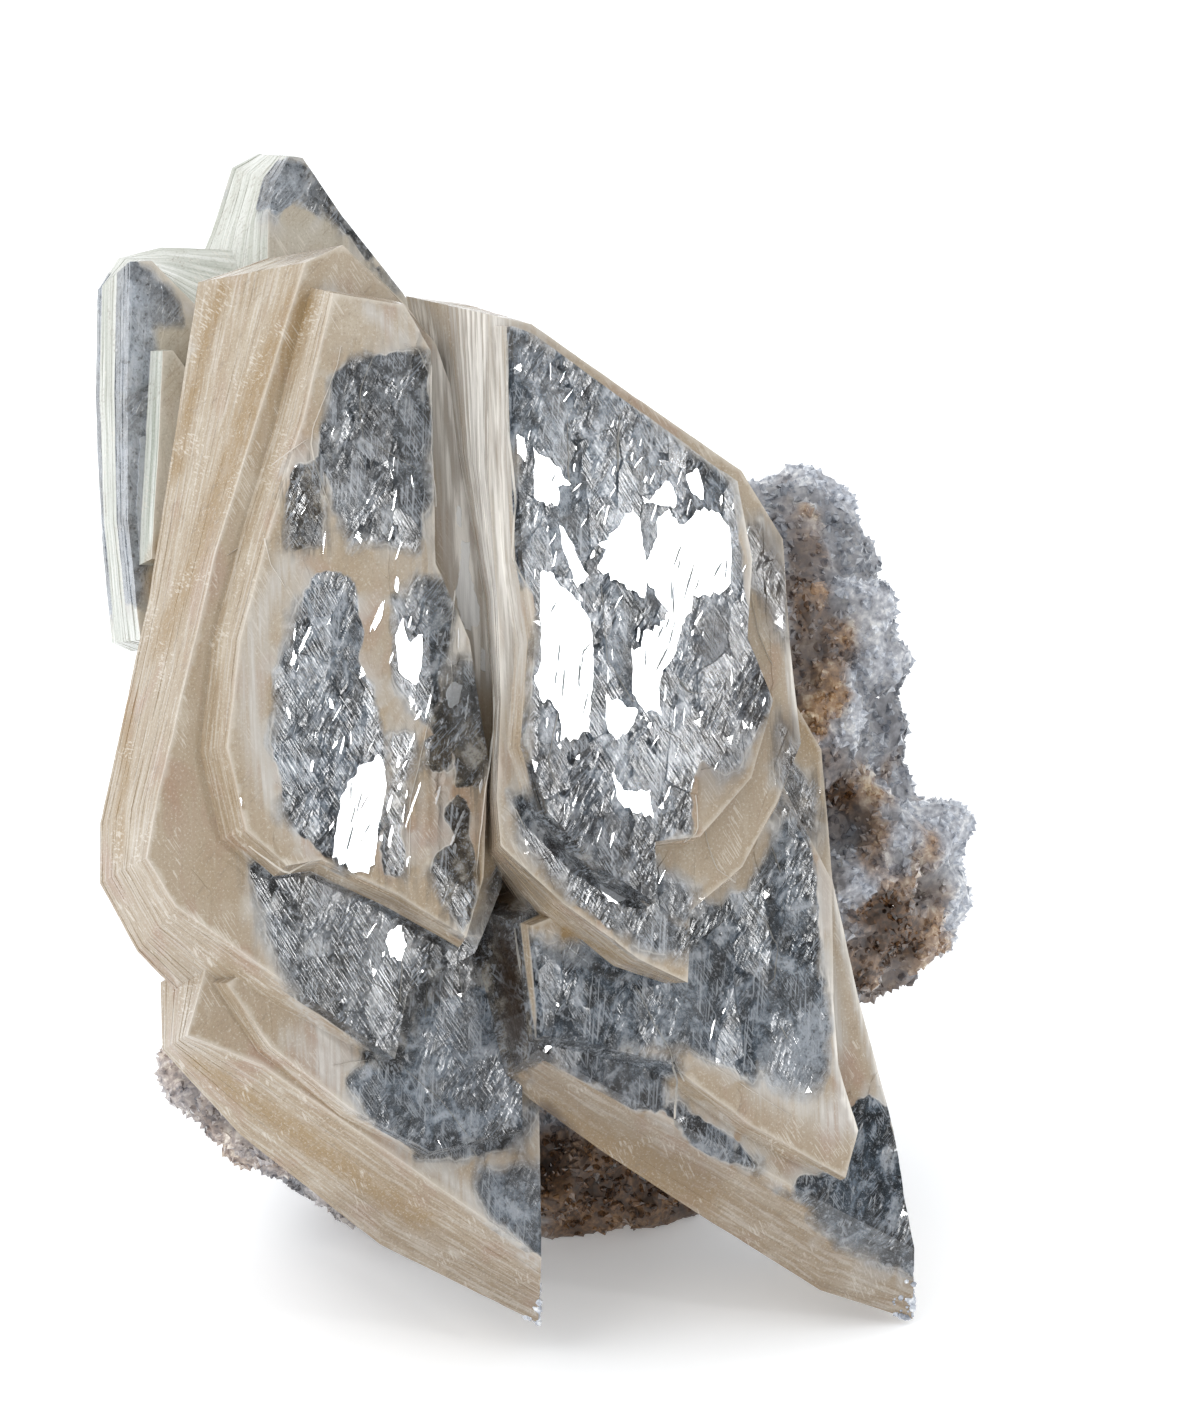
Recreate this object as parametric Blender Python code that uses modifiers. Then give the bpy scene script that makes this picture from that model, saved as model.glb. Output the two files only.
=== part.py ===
"""Cluster of coffin-shaped heulandite crystals standing on a piece of drusy quartz matrix.

Every crystal is a stack of plates parallel to the pearly {010} faces. Outlines are given in the
crystals' own frame, in millimetres: a runs across the plates, l up the long axis, w out of the
pearly face. The rock is one rounded, lumpy body, trimmed flat where the cluster stands.
"""
import math

import bmesh
import bpy
from mathutils import Matrix, Vector

# ---- Placing of the crystals, which all grew subparallel ----
LEAN = math.radians(25.0)  # the long axis leans back from upright
TURN = math.radians(25.5)  # the pearly faces turn towards +X
FLOOR = -2.85  # mm: height of the resting plane under the crystals' own origin
CENTRE = (0.76, 25.74)  # mm: the middle of the whole cluster seen from above, in that frame

# ---- Fits ----
SEAM = 0.3  # mm: gap between two pieces that touch
LEDGE = 0.35  # mm: how far one growth ledge stands out from the next
MITRE = 0.45  # keeps the corner of a grown outline from running out into a spike

# ---- Levels of the plates, mm along w ----
LEFT_FACE, LEFT_GIRDLE, LEFT_BACK = 9.0, 1.0, -7.0
LEFT_TERRACE = 12.0
STEP_FACE, STEP_GIRDLE, STEP_BACK = 5.0, -1.0, -8.5
STEP_TERRACE = 6.5
TOP_FACE, TOP_TERRACE, TOP_BACK = 18.0, 20.5, 2.0
FOOT_FACE, FOOT_TERRACE, FOOT_GIRDLE, FOOT_BACK = 10.0, 12.0, 6.0, -6.0
BLADE_FACE, BLADE_BACK = -7.3, -14.0
SIDE_FACE, SIDE_BACK, SIDE_PLATE = -5.0, -11.0, -3.0

# ---- Outlines, mm (a, l), clockwise from the top left ----
LEFT_FRONT = [(-23, 80), (-20, 81.5), (-15, 77.5), (-12.3, 74.5), (-9, 66), (-7.5, 54), (-6, 44),
              (-6.8, 33.5), (-9, 28.5), (-14.5, 25.5), (-15.5, 20.5), (-25, 26.5), (-33, 31.5),
              (-35.3, 35), (-34.5, 39.5), (-30, 58), (-26.8, 68)]
LEFT_WAIST = [(-28.5, 79.3), (-23, 81.5), (-15.8, 79.5), (-12, 76), (-8.6, 66), (-7, 54),
              (-5.6, 44), (-6.4, 34), (-8.6, 29), (-14, 25.5), (-16, 20), (-26, 22), (-33, 28.5),
              (-36, 33.5), (-36, 38), (-32.3, 55), (-30.4, 67)]
LEFT_REAR = [(-24.5, 76.5), (-21.5, 78), (-16.5, 77), (-12.5, 73), (-9.5, 65), (-8, 54), (-6.6, 44),
             (-7.2, 34), (-9.4, 29), (-14, 26), (-16.5, 22.5), (-24, 26), (-29, 31),
             (-31, 35), (-31.5, 39), (-28.4, 55), (-26.4, 66)]
LEFT_TOP = [(-22, 77.3), (-16.2, 76.8), (-14, 73.5), (-13.6, 57.5), (-10.8, 51.8), (-9.3, 43),
            (-9.6, 34), (-11, 29.5), (-16.5, 32.5), (-22.7, 35), (-25.5, 34.5), (-28.7, 37),
            (-30.2, 43), (-29.3, 51), (-27, 59.3), (-24.4, 67.6)]
STEP_FRONT = [(-29, 27.5), (-18.5, 32.5), (-7, 33), (-4.5, 24.5), (-1.8, 17), (-1.6, 5.6),
              (-13.3, 13), (-24.5, 20), (-30.5, 22.2)]
STEP_WAIST = [(-30.4, 26.3), (-19, 34), (-7, 34.5), (-4.3, 25), (0.6, 15.5), (0.9, 0.5),
              (-12.4, 6.6), (-24, 15), (-30.2, 21.2)]
STEP_REAR = [(-26.5, 26.5), (-18.5, 33), (-7, 34), (-4.6, 25), (-0.5, 17), (0.2, 6),
             (-10.5, 10.5), (-21, 18.5), (-26, 22.5)]
STEP_TOP = [(-28, 26), (-19, 31.5), (-8.3, 32), (-5.8, 24.4), (-3.9, 19), (-3.9, 15.3),
            (-11.5, 13.6), (-18, 16.8), (-24.5, 21.4)]
TOP_FRONT = [(-12, 75.5), (-8.5, 75), (9, 65), (12.5, 60), (13, 52.5), (14, 44.5), (12, 40),
             (9, 35), (4.6, 31.5), (4.4, 26.2), (0.5, 27.8), (-6, 32), (-11, 36), (-11.3, 39.5),
             (-11, 47), (-11.3, 54.3), (-12, 63)]
TOP_REAR = [(-11.8, 79.3), (-6.5, 79), (17, 67), (20.8, 62), (21.4, 54), (22.2, 46), (20, 40),
            (15, 33.5), (8.5, 31), (6.5, 26.5), (1, 27), (-3, 31), (-5.5, 36), (-5.5, 40.5),
            (-5, 47), (-6, 56), (-9.5, 70)]
TOP_PLATE = [(-11.2, 74.3), (-9.5, 73.8), (7.4, 63.8), (8.6, 58), (8.2, 52), (10.4, 47.4),
             (8.5, 41.5), (4.2, 37), (0.5, 36.5), (0.5, 32), (-4, 34.5), (-8.3, 38.4), (-10, 43.3),
             (-9.4, 51), (-10.4, 57), (-10.8, 64)]
FOOT_FRONT = [(-6.5, 31), (4.3, 35), (17.2, 56.3), (21.2, 45.6), (21.8, 34.7), (23.5, 25.4),
              (26.2, 15.4), (28, 6.2), (19.6, 10), (9.4, 15), (1.8, 18.4), (-4.2, 21.3)]
FOOT_WAIST = [(-9, 32.5), (3, 37), (15, 57), (23.5, 46), (24.2, 35), (25.6, 25.6), (28.3, 15.4),
              (30, 0.6), (21.8, 3), (11.4, 8.8), (2.9, 13.8), (-5.5, 19.2)]
FOOT_REAR = [(-7, 33), (4, 37.5), (16, 57.5), (21, 46), (23, 34), (26, 24.5), (28.5, 16),
             (30, 8.4), (23, 8.8), (14, 13), (6, 18), (-3, 24)]
FOOT_PLATE = [(-5.6, 30.5), (3.4, 34.2), (15.3, 42.1), (19.8, 34.5), (19.9, 25.3), (20.3, 20.3),
              (22, 15.3), (20.9, 11.7), (12.7, 15.7), (5.7, 20.3), (0, 21.6), (-4.6, 22.3)]
BLADE_FRONT = [(-19.5, 48), (-19.5, 80), (-19.5, 86.5), (-18.9, 89.2), (-17.8, 91.3),
               (-16.6, 91.3), (-13.3, 87), (-8, 81.2), (-6, 78.5), (-6, 48)]
BLADE_REAR = [(-22, 46), (-24, 80.5), (-21.6, 86), (-19.9, 91.4), (-17.7, 92.7), (-14.9, 92.8),
              (-11.8, 90), (-6.6, 83), (-4, 79), (-4, 46)]
SIDE_FRONT = [(-31.8, 81.6), (-30, 81.8), (-26.4, 78.6), (-20.5, 74), (-20.5, 56), (-29.4, 52.5),
              (-30.7, 52.5), (-31.8, 61.6), (-31.9, 71)]
SIDE_REAR = [(-32.2, 80.3), (-30.5, 82.9), (-27, 84), (-20.5, 84.3), (-20.5, 54), (-29.2, 52.2),
             (-30.8, 52.8), (-31.8, 62), (-32.3, 71.7)]
SIDE_TOP = [(-29.8, 74.5), (-29, 74.6), (-26.9, 72), (-27.3, 64.7), (-29.2, 58.6), (-30.6, 58.5),
            (-30.1, 67)]

# ---- Rock, mm: (centre, radii) of the rounded masses it is made of, before its surface ----
ROCK_MASSES = [((0, 36, 23), (24, 19, 28)), ((16.5, 40, 37), (14, 13, 18)),
               ((22.5, 36, 23), (11.5, 10, 11)), ((-15, 22, 14), (12.5, 11, 10.5)),
               ((-14, 26, 7), (9, 9, 9)), ((-9, 33, 4), (12, 9, 10)),
               ((4, 31, 4), (13, 10.5, 11)), ((2, 44, 12), (19, 14, 17))]
ROCK_VOXEL = 1.1  # mm: cell in which the masses are fused
ROCK_LUMPS = (("CLOUDS", 9.0, 3.0), ("VORONOI", 5.0, 3.4))  # (kind, width and height in mm)
ROCK_KEPT = 0.26  # share of the fused skin's faces that is kept
BLOCK = 200.0  # mm: bigger than the whole cluster

# ---- Materials: (name, linear colour, roughness, metallic, transmission) ----
MATERIALS = {
    "left_crystal": ("pearly heulandite, tan", (0.50, 0.39, 0.26), 0.22, 0.0, 0.15),
    "right_crystal": ("pearly heulandite, clear", (0.44, 0.38, 0.29), 0.18, 0.0, 0.3),
    "top_blade": ("pearly heulandite, pale", (0.60, 0.57, 0.46), 0.25, 0.0, 0.15),
    "side_blade": ("pearly heulandite, milky", (0.62, 0.58, 0.50), 0.25, 0.0, 0.1),
    "matrix": ("drusy quartz", (0.40, 0.32, 0.28), 0.55, 0.0, 0.0),
}


def collection(name, wire=False):
    made = bpy.data.collections.new(name)
    bpy.context.scene.collection.children.link(made)
    made.hide_render = wire
    return made


def crystal_frame():
    """Matrix from (a, l, w) in mm to the row frame in metres."""
    long_axis = Vector((0, math.sin(LEAN), math.cos(LEAN)))
    front = Vector((0, -math.cos(LEAN), math.sin(LEAN)))
    across = math.cos(TURN) * Vector((1, 0, 0)) - math.sin(TURN) * front
    pearly = math.sin(TURN) * Vector((1, 0, 0)) + math.cos(TURN) * front
    axes = Matrix((across, long_axis, pearly)).transposed().to_4x4()
    return Matrix.Scale(0.001, 4) @ Matrix.Translation((-CENTRE[0], -CENTRE[1], -FLOOR)) @ axes


FRAME = crystal_frame()


def grown(outline, out):
    """The outline moved outwards by out millimetres, with shortened mitres."""
    points = [Vector(p) for p in outline]
    count = len(points)
    area = sum(points[i - 1].cross(points[i]) for i in range(count))
    side = 1 if area > 0 else -1
    moved = []
    for i, point in enumerate(points):
        before = (point - points[i - 1]).normalized()
        after = (points[(i + 1) % count] - point).normalized()
        normals = [Vector((d.y, -d.x)) * side for d in (before, after)]
        both = normals[0] + normals[1]
        moved.append(point + both * out / max(1 + normals[0].dot(normals[1]), MITRE))
    return moved


def between(first, last, share):
    return [Vector(p).lerp(Vector(q), share) for p, q in zip(first, last)]


def place_mesh(name, bm, home):
    bmesh.ops.recalc_face_normals(bm, faces=bm.faces)
    mesh = bpy.data.meshes.new(name)
    bm.to_mesh(mesh)
    bm.free()
    made = bpy.data.objects.new(name, mesh)
    home.objects.link(made)
    return made


def loft(name, rings, home):
    """Closed solid through rings of equal count; each ring is (outline, level)."""
    bm = bmesh.new()
    loops = [[bm.verts.new(FRAME @ Vector((p[0], p[1], level))) for p in outline]
             for outline, level in rings]
    for low, high in zip(loops, loops[1:]):
        for i in range(len(low)):
            bm.faces.new((low[i - 1], low[i], high[i]))
            bm.faces.new((low[i - 1], high[i], high[i - 1]))
    bm.faces.new(loops[0])
    bm.faces.new(loops[-1])
    return place_mesh(name, bm, home)


def stepped(name, stations, shares, home):
    """Solid through (outline, level) stations whose walls are ledges.

    shares says how many ledges each stretch between two stations has.
    """
    rings, out = [], 0
    for (low, w_low), (high, w_high), ledges in zip(stations, stations[1:], shares):
        for k in range(ledges):
            out = 1 - out
            for share in (k / ledges, (k + 1) / ledges):
                outline = grown(between(low, high, share), LEDGE * out - LEDGE)
                rings.append((outline, w_low + (w_high - w_low) * share))
    return loft(name, rings, home)


def plain(name, stations, shares, home):
    """The same solid without ledges, a seam bigger all round: the cutter for its neighbours."""
    rings = []
    for (low, w_low), (high, w_high), ledges in zip(stations, stations[1:], shares):
        for share in [k / ledges for k in range(ledges)]:
            rings.append((grown(between(low, high, share), SEAM), w_low + (w_high - w_low) * share))
    rings[0] = (rings[0][0], rings[0][1] - SEAM)
    rings.append((grown(stations[-1][0], SEAM), stations[-1][1] + SEAM))
    return loft(name, rings, home)


def boolean(target, other, operation):
    made = target.modifiers.new(other.name, "BOOLEAN")
    made.operation = operation
    made.solver = "EXACT"
    made.object = other


def finish(solid):
    """Gives a solid the material listed under its name."""
    name, colour, roughness, metallic, clear = MATERIALS[solid.name]
    made = bpy.data.materials.new(name)
    made.use_nodes = True
    shader = made.node_tree.nodes["Principled BSDF"]
    shader.inputs["Base Color"].default_value = (*colour, 1)
    shader.inputs["Roughness"].default_value = roughness
    shader.inputs["Metallic"].default_value = metallic
    shader.inputs["Transmission Weight"].default_value = clear
    solid.data.materials.append(made)


def crystals():
    """For each crystal: its stacks of plates as (stations, ledges), the main one first."""
    def plate(outline, face, under, spread):
        return [(grown(outline, spread), under), (outline, face)]
    left = [([(LEFT_REAR, LEFT_BACK), (LEFT_WAIST, LEFT_GIRDLE), (LEFT_FRONT, LEFT_FACE)], (3, 5)),
            (plate(LEFT_TOP, LEFT_TERRACE, LEFT_FACE - 1, 1.0), (3,)),
            ([(STEP_REAR, STEP_BACK), (STEP_WAIST, STEP_GIRDLE), (STEP_FRONT, STEP_FACE)], (3, 5)),
            (plate(STEP_TOP, STEP_TERRACE, STEP_FACE - 1, 0.6), (2,))]
    right = [([(TOP_REAR, TOP_BACK), (TOP_FRONT, TOP_FACE)], (7,)),
             (plate(TOP_PLATE, TOP_TERRACE, TOP_FACE - 1, 0.5), (3,)),
             ([(FOOT_REAR, FOOT_BACK), (FOOT_WAIST, FOOT_GIRDLE), (FOOT_FRONT, FOOT_FACE)], (4, 4)),
             (plate(FOOT_PLATE, FOOT_TERRACE, FOOT_FACE - 1, 0.6), (2,))]
    top = [([(BLADE_REAR, BLADE_BACK), (BLADE_FRONT, BLADE_FACE)], (4,))]
    side = [([(SIDE_REAR, SIDE_BACK), (SIDE_FRONT, SIDE_FACE)], (4,)),
            (plate(SIDE_TOP, SIDE_PLATE, SIDE_FACE - 1, 0.4), (2,))]
    return {"left_crystal": left, "right_crystal": right, "top_blade": top, "side_blade": side}


def build_crystal(name, stacks, home, helpers):
    """One solid of fused stacks, and its seam-bigger cutters."""
    made = stepped(name, *stacks[0], home)
    cutters = []
    for k, (stations, ledges) in enumerate(stacks):
        if k:
            boolean(made, stepped(f"{name}_stack{k}", stations, ledges, helpers), "UNION")
        cutters.append(plain(f"{name}_cut{k}", stations, ledges, helpers))
    return made, cutters


def rock_body(home):
    """The rounded masses fused into one closed skin, then made lumpy."""
    bm = bmesh.new()
    for centre, radii in ROCK_MASSES:
        where = Matrix.Translation((centre[0] - CENTRE[0], centre[1] - CENTRE[1],
                                    centre[2] - FLOOR))
        shape = Matrix.Scale(0.001, 4) @ where @ Matrix.Diagonal((*radii, 1))
        bmesh.ops.create_icosphere(bm, subdivisions=3, radius=1, matrix=shape)
    rock = place_mesh("matrix", bm, home)
    remesh = rock.modifiers.new("fuse", "REMESH")
    remesh.mode = "VOXEL"
    remesh.voxel_size = ROCK_VOXEL / 1000
    for kind, width, height in ROCK_LUMPS:
        texture = bpy.data.textures.new(kind.lower(), kind)
        texture.noise_scale = width / 1000
        displace = rock.modifiers.new(kind.lower(), "DISPLACE")
        displace.texture = texture
        displace.strength = height / 1000
    thin = rock.modifiers.new("thin", "DECIMATE")
    thin.ratio = ROCK_KEPT
    return rock


def floor_cutter(home):
    """A block that trims whatever reaches below the resting plane."""
    bm = bmesh.new()
    size = BLOCK / 1000
    bmesh.ops.create_cube(bm, size=size, matrix=Matrix.Translation((0, 0, -size / 2)))
    return place_mesh("floor_cut", bm, home)


def main():
    for old in list(bpy.data.objects):
        bpy.data.objects.remove(old)
    home = collection("heulandite_cluster")
    helpers = collection("cutters", wire=True)
    solids, cutters = {}, {}
    for name, stacks in crystals().items():
        solids[name], cutters[name] = build_crystal(name, stacks, home, helpers)
    order = ["left_crystal", "right_crystal", "top_blade", "side_blade"]
    for k, name in enumerate(order):
        for earlier in order[:k]:
            for cutter in cutters[earlier]:
                boolean(solids[name], cutter, "DIFFERENCE")
    rock = rock_body(home)
    boolean(rock, floor_cutter(helpers), "DIFFERENCE")
    for name in order:
        for cutter in cutters[name]:
            boolean(rock, cutter, "DIFFERENCE")
    for solid in home.objects:
        finish(solid)
    for helper in helpers.objects:
        helper.display_type = "WIRE"
        helper.hide_render = True


main()
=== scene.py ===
"""Heulandite crystal cluster on drusy quartz: its looks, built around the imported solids.

Every crystal is a stack of plates parallel to its pearly faces. Outlines are given in the
crystals' own frame, in millimetres: a runs across the plates, l up the long axis, w out of the
pearly face.
"""
import math

import bmesh
import bpy
import numpy as np
from mathutils import Matrix, Vector
from mathutils.bvhtree import BVHTree
from mathutils.geometry import delaunay_2d_cdt


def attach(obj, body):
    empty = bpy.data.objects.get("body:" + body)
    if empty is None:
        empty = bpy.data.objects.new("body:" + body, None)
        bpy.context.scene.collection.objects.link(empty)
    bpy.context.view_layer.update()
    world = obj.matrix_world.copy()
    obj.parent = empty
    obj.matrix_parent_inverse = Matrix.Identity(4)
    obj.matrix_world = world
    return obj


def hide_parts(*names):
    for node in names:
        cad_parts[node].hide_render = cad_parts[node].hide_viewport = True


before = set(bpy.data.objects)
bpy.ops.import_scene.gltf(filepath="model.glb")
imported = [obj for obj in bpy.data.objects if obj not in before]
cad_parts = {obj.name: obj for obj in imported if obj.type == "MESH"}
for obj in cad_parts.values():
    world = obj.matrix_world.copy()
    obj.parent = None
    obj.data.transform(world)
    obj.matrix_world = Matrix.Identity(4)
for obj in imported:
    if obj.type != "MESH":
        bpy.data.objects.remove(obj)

bl_info = {
    "name": "Heulandite cluster",
    "version": (1, 0, 0),
    "blender": (4, 5, 0),
    "location": "View3D > Sidebar > Heulandite",
    "description": "Dresses a heulandite crystal cluster: pearly crystals, drusy rock, stage",
    "category": "Object",
}

# ---- Placing of the crystals, which all grew subparallel ----
LEAN = math.radians(25.0)  # the long axis leans back from upright
TURN = math.radians(25.5)  # the pearly faces turn towards +X
FLOOR = -2.85  # mm: height of the resting plane under the crystals' own origin
CENTRE = (0.76, 25.74)  # mm: the middle of the whole cluster seen from above, in that frame

# ---- Levels of the plates, mm along w ----
LEFT_FACE, LEFT_GIRDLE, LEFT_BACK = 9.0, 1.0, -7.0
LEFT_TERRACE = 12.0
STEP_FACE, STEP_GIRDLE, STEP_BACK = 5.0, -1.0, -8.5
STEP_TERRACE = 6.5
TOP_FACE, TOP_TERRACE, TOP_BACK = 18.0, 20.5, 2.0
FOOT_FACE, FOOT_TERRACE, FOOT_GIRDLE, FOOT_BACK = 10.0, 12.0, 6.0, -6.0
BLADE_FACE, BLADE_BACK = -7.3, -14.0
SIDE_FACE, SIDE_BACK, SIDE_PLATE = -5.0, -11.0, -3.0

# ---- Outlines, mm (a, l), clockwise from the top left ----
LEFT_FRONT = [(-23, 80), (-20, 81.5), (-15, 77.5), (-12.3, 74.5), (-9, 66), (-7.5, 54), (-6, 44),
    (-6.8, 33.5), (-9, 28.5), (-14.5, 25.5), (-15.5, 20.5), (-25, 26.5), (-33, 31.5), (-35.3, 35),
    (-34.5, 39.5), (-30, 58), (-26.8, 68)]
LEFT_WAIST = [(-28.5, 79.3), (-23, 81.5), (-15.8, 79.5), (-12, 76), (-8.6, 66), (-7, 54),
    (-5.6, 44), (-6.4, 34), (-8.6, 29), (-14, 25.5), (-16, 20), (-26, 22), (-33, 28.5),
    (-36, 33.5), (-36, 38), (-32.3, 55), (-30.4, 67)]
LEFT_REAR = [(-24.5, 76.5), (-21.5, 78), (-16.5, 77), (-12.5, 73), (-9.5, 65), (-8, 54),
    (-6.6, 44), (-7.2, 34), (-9.4, 29), (-14, 26), (-16.5, 22.5), (-24, 26), (-29, 31), (-31, 35),
    (-31.5, 39), (-28.4, 55), (-26.4, 66)]
LEFT_TOP = [(-22, 77.3), (-16.2, 76.8), (-14, 73.5), (-13.6, 57.5), (-10.8, 51.8), (-9.3, 43),
    (-9.6, 34), (-11, 29.5), (-16.5, 32.5), (-22.7, 35), (-25.5, 34.5), (-28.7, 37), (-30.2, 43),
    (-29.3, 51), (-27, 59.3), (-24.4, 67.6)]
STEP_FRONT = [(-29, 27.5), (-18.5, 32.5), (-7, 33), (-4.5, 24.5), (-1.8, 17), (-1.6, 5.6),
    (-13.3, 13), (-24.5, 20), (-30.5, 22.2)]
STEP_WAIST = [(-30.4, 26.3), (-19, 34), (-7, 34.5), (-4.3, 25), (0.6, 15.5), (0.9, 0.5),
    (-12.4, 6.6), (-24, 15), (-30.2, 21.2)]
STEP_REAR = [(-26.5, 26.5), (-18.5, 33), (-7, 34), (-4.6, 25), (-0.5, 17), (0.2, 6), (-10.5, 10.5),
    (-21, 18.5), (-26, 22.5)]
STEP_TOP = [(-28, 26), (-19, 31.5), (-8.3, 32), (-5.8, 24.4), (-3.9, 19), (-3.9, 15.3),
    (-11.5, 13.6), (-18, 16.8), (-24.5, 21.4)]
TOP_FRONT = [(-12, 75.5), (-8.5, 75), (9, 65), (12.5, 60), (13, 52.5), (14, 44.5), (12, 40),
    (9, 35), (4.6, 31.5), (4.4, 26.2), (0.5, 27.8), (-6, 32), (-11, 36), (-11.3, 39.5), (-11, 47),
    (-11.3, 54.3), (-12, 63)]
TOP_REAR = [(-11.8, 79.3), (-6.5, 79), (17, 67), (20.8, 62), (21.4, 54), (22.2, 46), (20, 40),
    (15, 33.5), (8.5, 31), (6.5, 26.5), (1, 27), (-3, 31), (-5.5, 36), (-5.5, 40.5), (-5, 47),
    (-6, 56), (-9.5, 70)]
TOP_PLATE = [(-11.2, 74.3), (-9.5, 73.8), (7.4, 63.8), (8.6, 58), (8.2, 52), (10.4, 47.4),
    (8.5, 41.5), (4.2, 37), (0.5, 36.5), (0.5, 32), (-4, 34.5), (-8.3, 38.4), (-10, 43.3),
    (-9.4, 51), (-10.4, 57), (-10.8, 64)]
FOOT_FRONT = [(-6.5, 31), (4.3, 35), (15.6, 51.5), (20, 44.8), (20.9, 34.7), (23.2, 25.4),
    (26.2, 15.4), (28, 6.2), (19.6, 10), (9.4, 15), (1.8, 18.4), (-4.2, 21.3)]
FOOT_WAIST = [(-9, 32.5), (3, 37), (14.5, 52.5), (21.2, 45), (22.4, 35), (25, 25.6), (28.3, 15.4),
    (30, 0.6), (21.8, 3), (11.4, 8.8), (2.9, 13.8), (-5.5, 19.2)]
FOOT_REAR = [(-7, 33), (4, 37.5), (15, 53), (20, 45), (22, 34), (25.5, 24.5), (28.5, 16),
    (30, 8.4), (23, 8.8), (14, 13), (6, 18), (-3, 24)]
FOOT_PLATE = [(-5.6, 30.5), (3.4, 34.2), (15.3, 42.1), (19.8, 34.5), (19.9, 25.3), (20.3, 20.3),
    (22, 15.3), (20.9, 11.7), (12.7, 15.7), (5.7, 20.3), (0, 21.6), (-4.6, 22.3)]
BLADE_FRONT = [(-19.5, 48), (-19.5, 80), (-19.5, 86.5), (-18.9, 89.2), (-17.8, 91.3),
    (-16.6, 91.3), (-13.3, 87), (-8, 81.2), (-6, 78.5), (-6, 48)]
BLADE_REAR = [(-22, 46), (-24, 80.5), (-21.6, 86), (-19.9, 91.4), (-17.7, 92.7), (-14.9, 92.8),
    (-11.8, 90), (-6.6, 83), (-4, 79), (-4, 46)]
SIDE_FRONT = [(-31.8, 81.6), (-30, 81.8), (-26.4, 78.6), (-20.5, 74), (-20.5, 56), (-29.4, 52.5),
    (-30.7, 52.5), (-31.8, 61.6), (-31.9, 71)]
SIDE_REAR = [(-32.2, 80.3), (-30.5, 82.9), (-27, 84), (-20.5, 84.3), (-20.5, 54), (-29.2, 52.2),
    (-30.8, 52.8), (-31.8, 62), (-32.3, 71.7)]
SIDE_TOP = [(-29.8, 74.5), (-29, 74.6), (-26.9, 72), (-27.3, 64.7), (-29.2, 58.6), (-30.6, 58.5),
    (-30.1, 67)]

# ---- Clear windows in the milky crystals: (level, brownness, outline) ----
LEFT_WINDOWS = [
    (12, 0.35, [(-21, 72.2), (-18.7, 73.1), (-14.1, 73.4), (-13.9, 62.2), (-15.2, 58.4),
        (-20.6, 58.4), (-22.2, 61.8), (-23.3, 66.9), (-22.2, 70.7)]),
    (12, 0.8, [(-13.6, 72.8), (-12.3, 69.9), (-11.5, 64.6), (-11, 59.3), (-12, 57.8),
        (-13.5, 62.2)]),
    (12, 0.9, [(-25.4, 63.8), (-22.9, 64.6), (-22.4, 61.7), (-22.8, 58.4), (-25.5, 58.1),
        (-25.9, 60.8)]),
    (12, 0.05, [(-23.9, 56.1), (-22.2, 56.5), (-20.4, 55.6), (-19.3, 52.1), (-19.7, 49.8),
        (-18.7, 47.9), (-17.4, 43), (-17.8, 39.6), (-18.5, 34.7), (-20.3, 34.2), (-24.4, 36.7),
        (-26, 38.2), (-26.7, 43.8), (-26.7, 48), (-25.3, 52.4)]),
    (12, 0.7, [(-17.5, 44.6), (-15.3, 44.7), (-16.1, 38.5), (-16, 34), (-17.8, 33.7),
        (-17.8, 38.5)]),
    (12, 0.2, [(-17.1, 54.7), (-15.1, 56.5), (-12.9, 56.2), (-11.7, 54), (-12.9, 49.7),
        (-13.1, 47), (-14.5, 45.2), (-16, 46.5), (-17.1, 49.1)]),
    (12, 0.9, [(-14.5, 44), (-13.2, 44.6), (-11.9, 43.9), (-12.2, 42), (-13.6, 41.6),
        (-14.5, 42.3)]),
    (12, 0.9, [(-12.9, 49.5), (-10, 50.9), (-8.7, 48.4), (-9.1, 42.6), (-9.8, 40.6), (-11.7, 40.9),
        (-12.1, 42.8), (-14.4, 45.8), (-13.1, 47)]),
    (12, 0.8, [(-12.9, 39), (-11.7, 40.1), (-10.8, 39.4), (-10.1, 32.3), (-11.1, 29.7),
        (-13.2, 32.3), (-14.1, 34.8), (-12.2, 36.8)]),
    (9, 0.5, [(-27.4, 34.9), (-26.3, 31), (-25, 27.1), (-22.7, 24.3), (-20.9, 22.8), (-18.3, 21.1),
        (-16.1, 19.5), (-14.1, 20.1), (-14, 25.5), (-8.4, 27.8), (-6.8, 33.3), (-6.9, 37.8),
        (-8.7, 29.5), (-15.1, 32), (-20.8, 33.7), (-26.3, 35.2)]),
    ((6.3, 9.3), 0.6, [(-17.7, 21.9), (-14.7, 26.1), (-8.8, 29.9), (-4.7, 30), (-4.3, 24.3),
        (-12.6, 23.3), (-13.4, 18.1), (-16.2, 18.6)]),
    (6.5, -0.3, [(-18.5, 19.1), (-16.3, 20.6), (-14, 20), (-13.1, 25), (-7.5, 28.5), (-2.4, 30.5),
        (-1.6, 16.8), (-3.3, 14.4), (-9.1, 13.8), (-12, 13.1), (-13.6, 14), (-16.5, 16.1),
        (-18.2, 17.9)]),
    (5, -0.4, [(-7.2, 12.7), (-6.6, 9.8), (-5.3, 8.4), (-3.4, 7), (-1.3, 5.6), (-1.3, 12.9),
        (-4.6, 12.4)]),
    ((4.8, 6.8), 0.3, [(-13.7, 16), (-12, 13.1), (-7.9, 13), (-3.3, 13.8), (-1.7, 17.6),
        (-5.4, 16)])]
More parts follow.
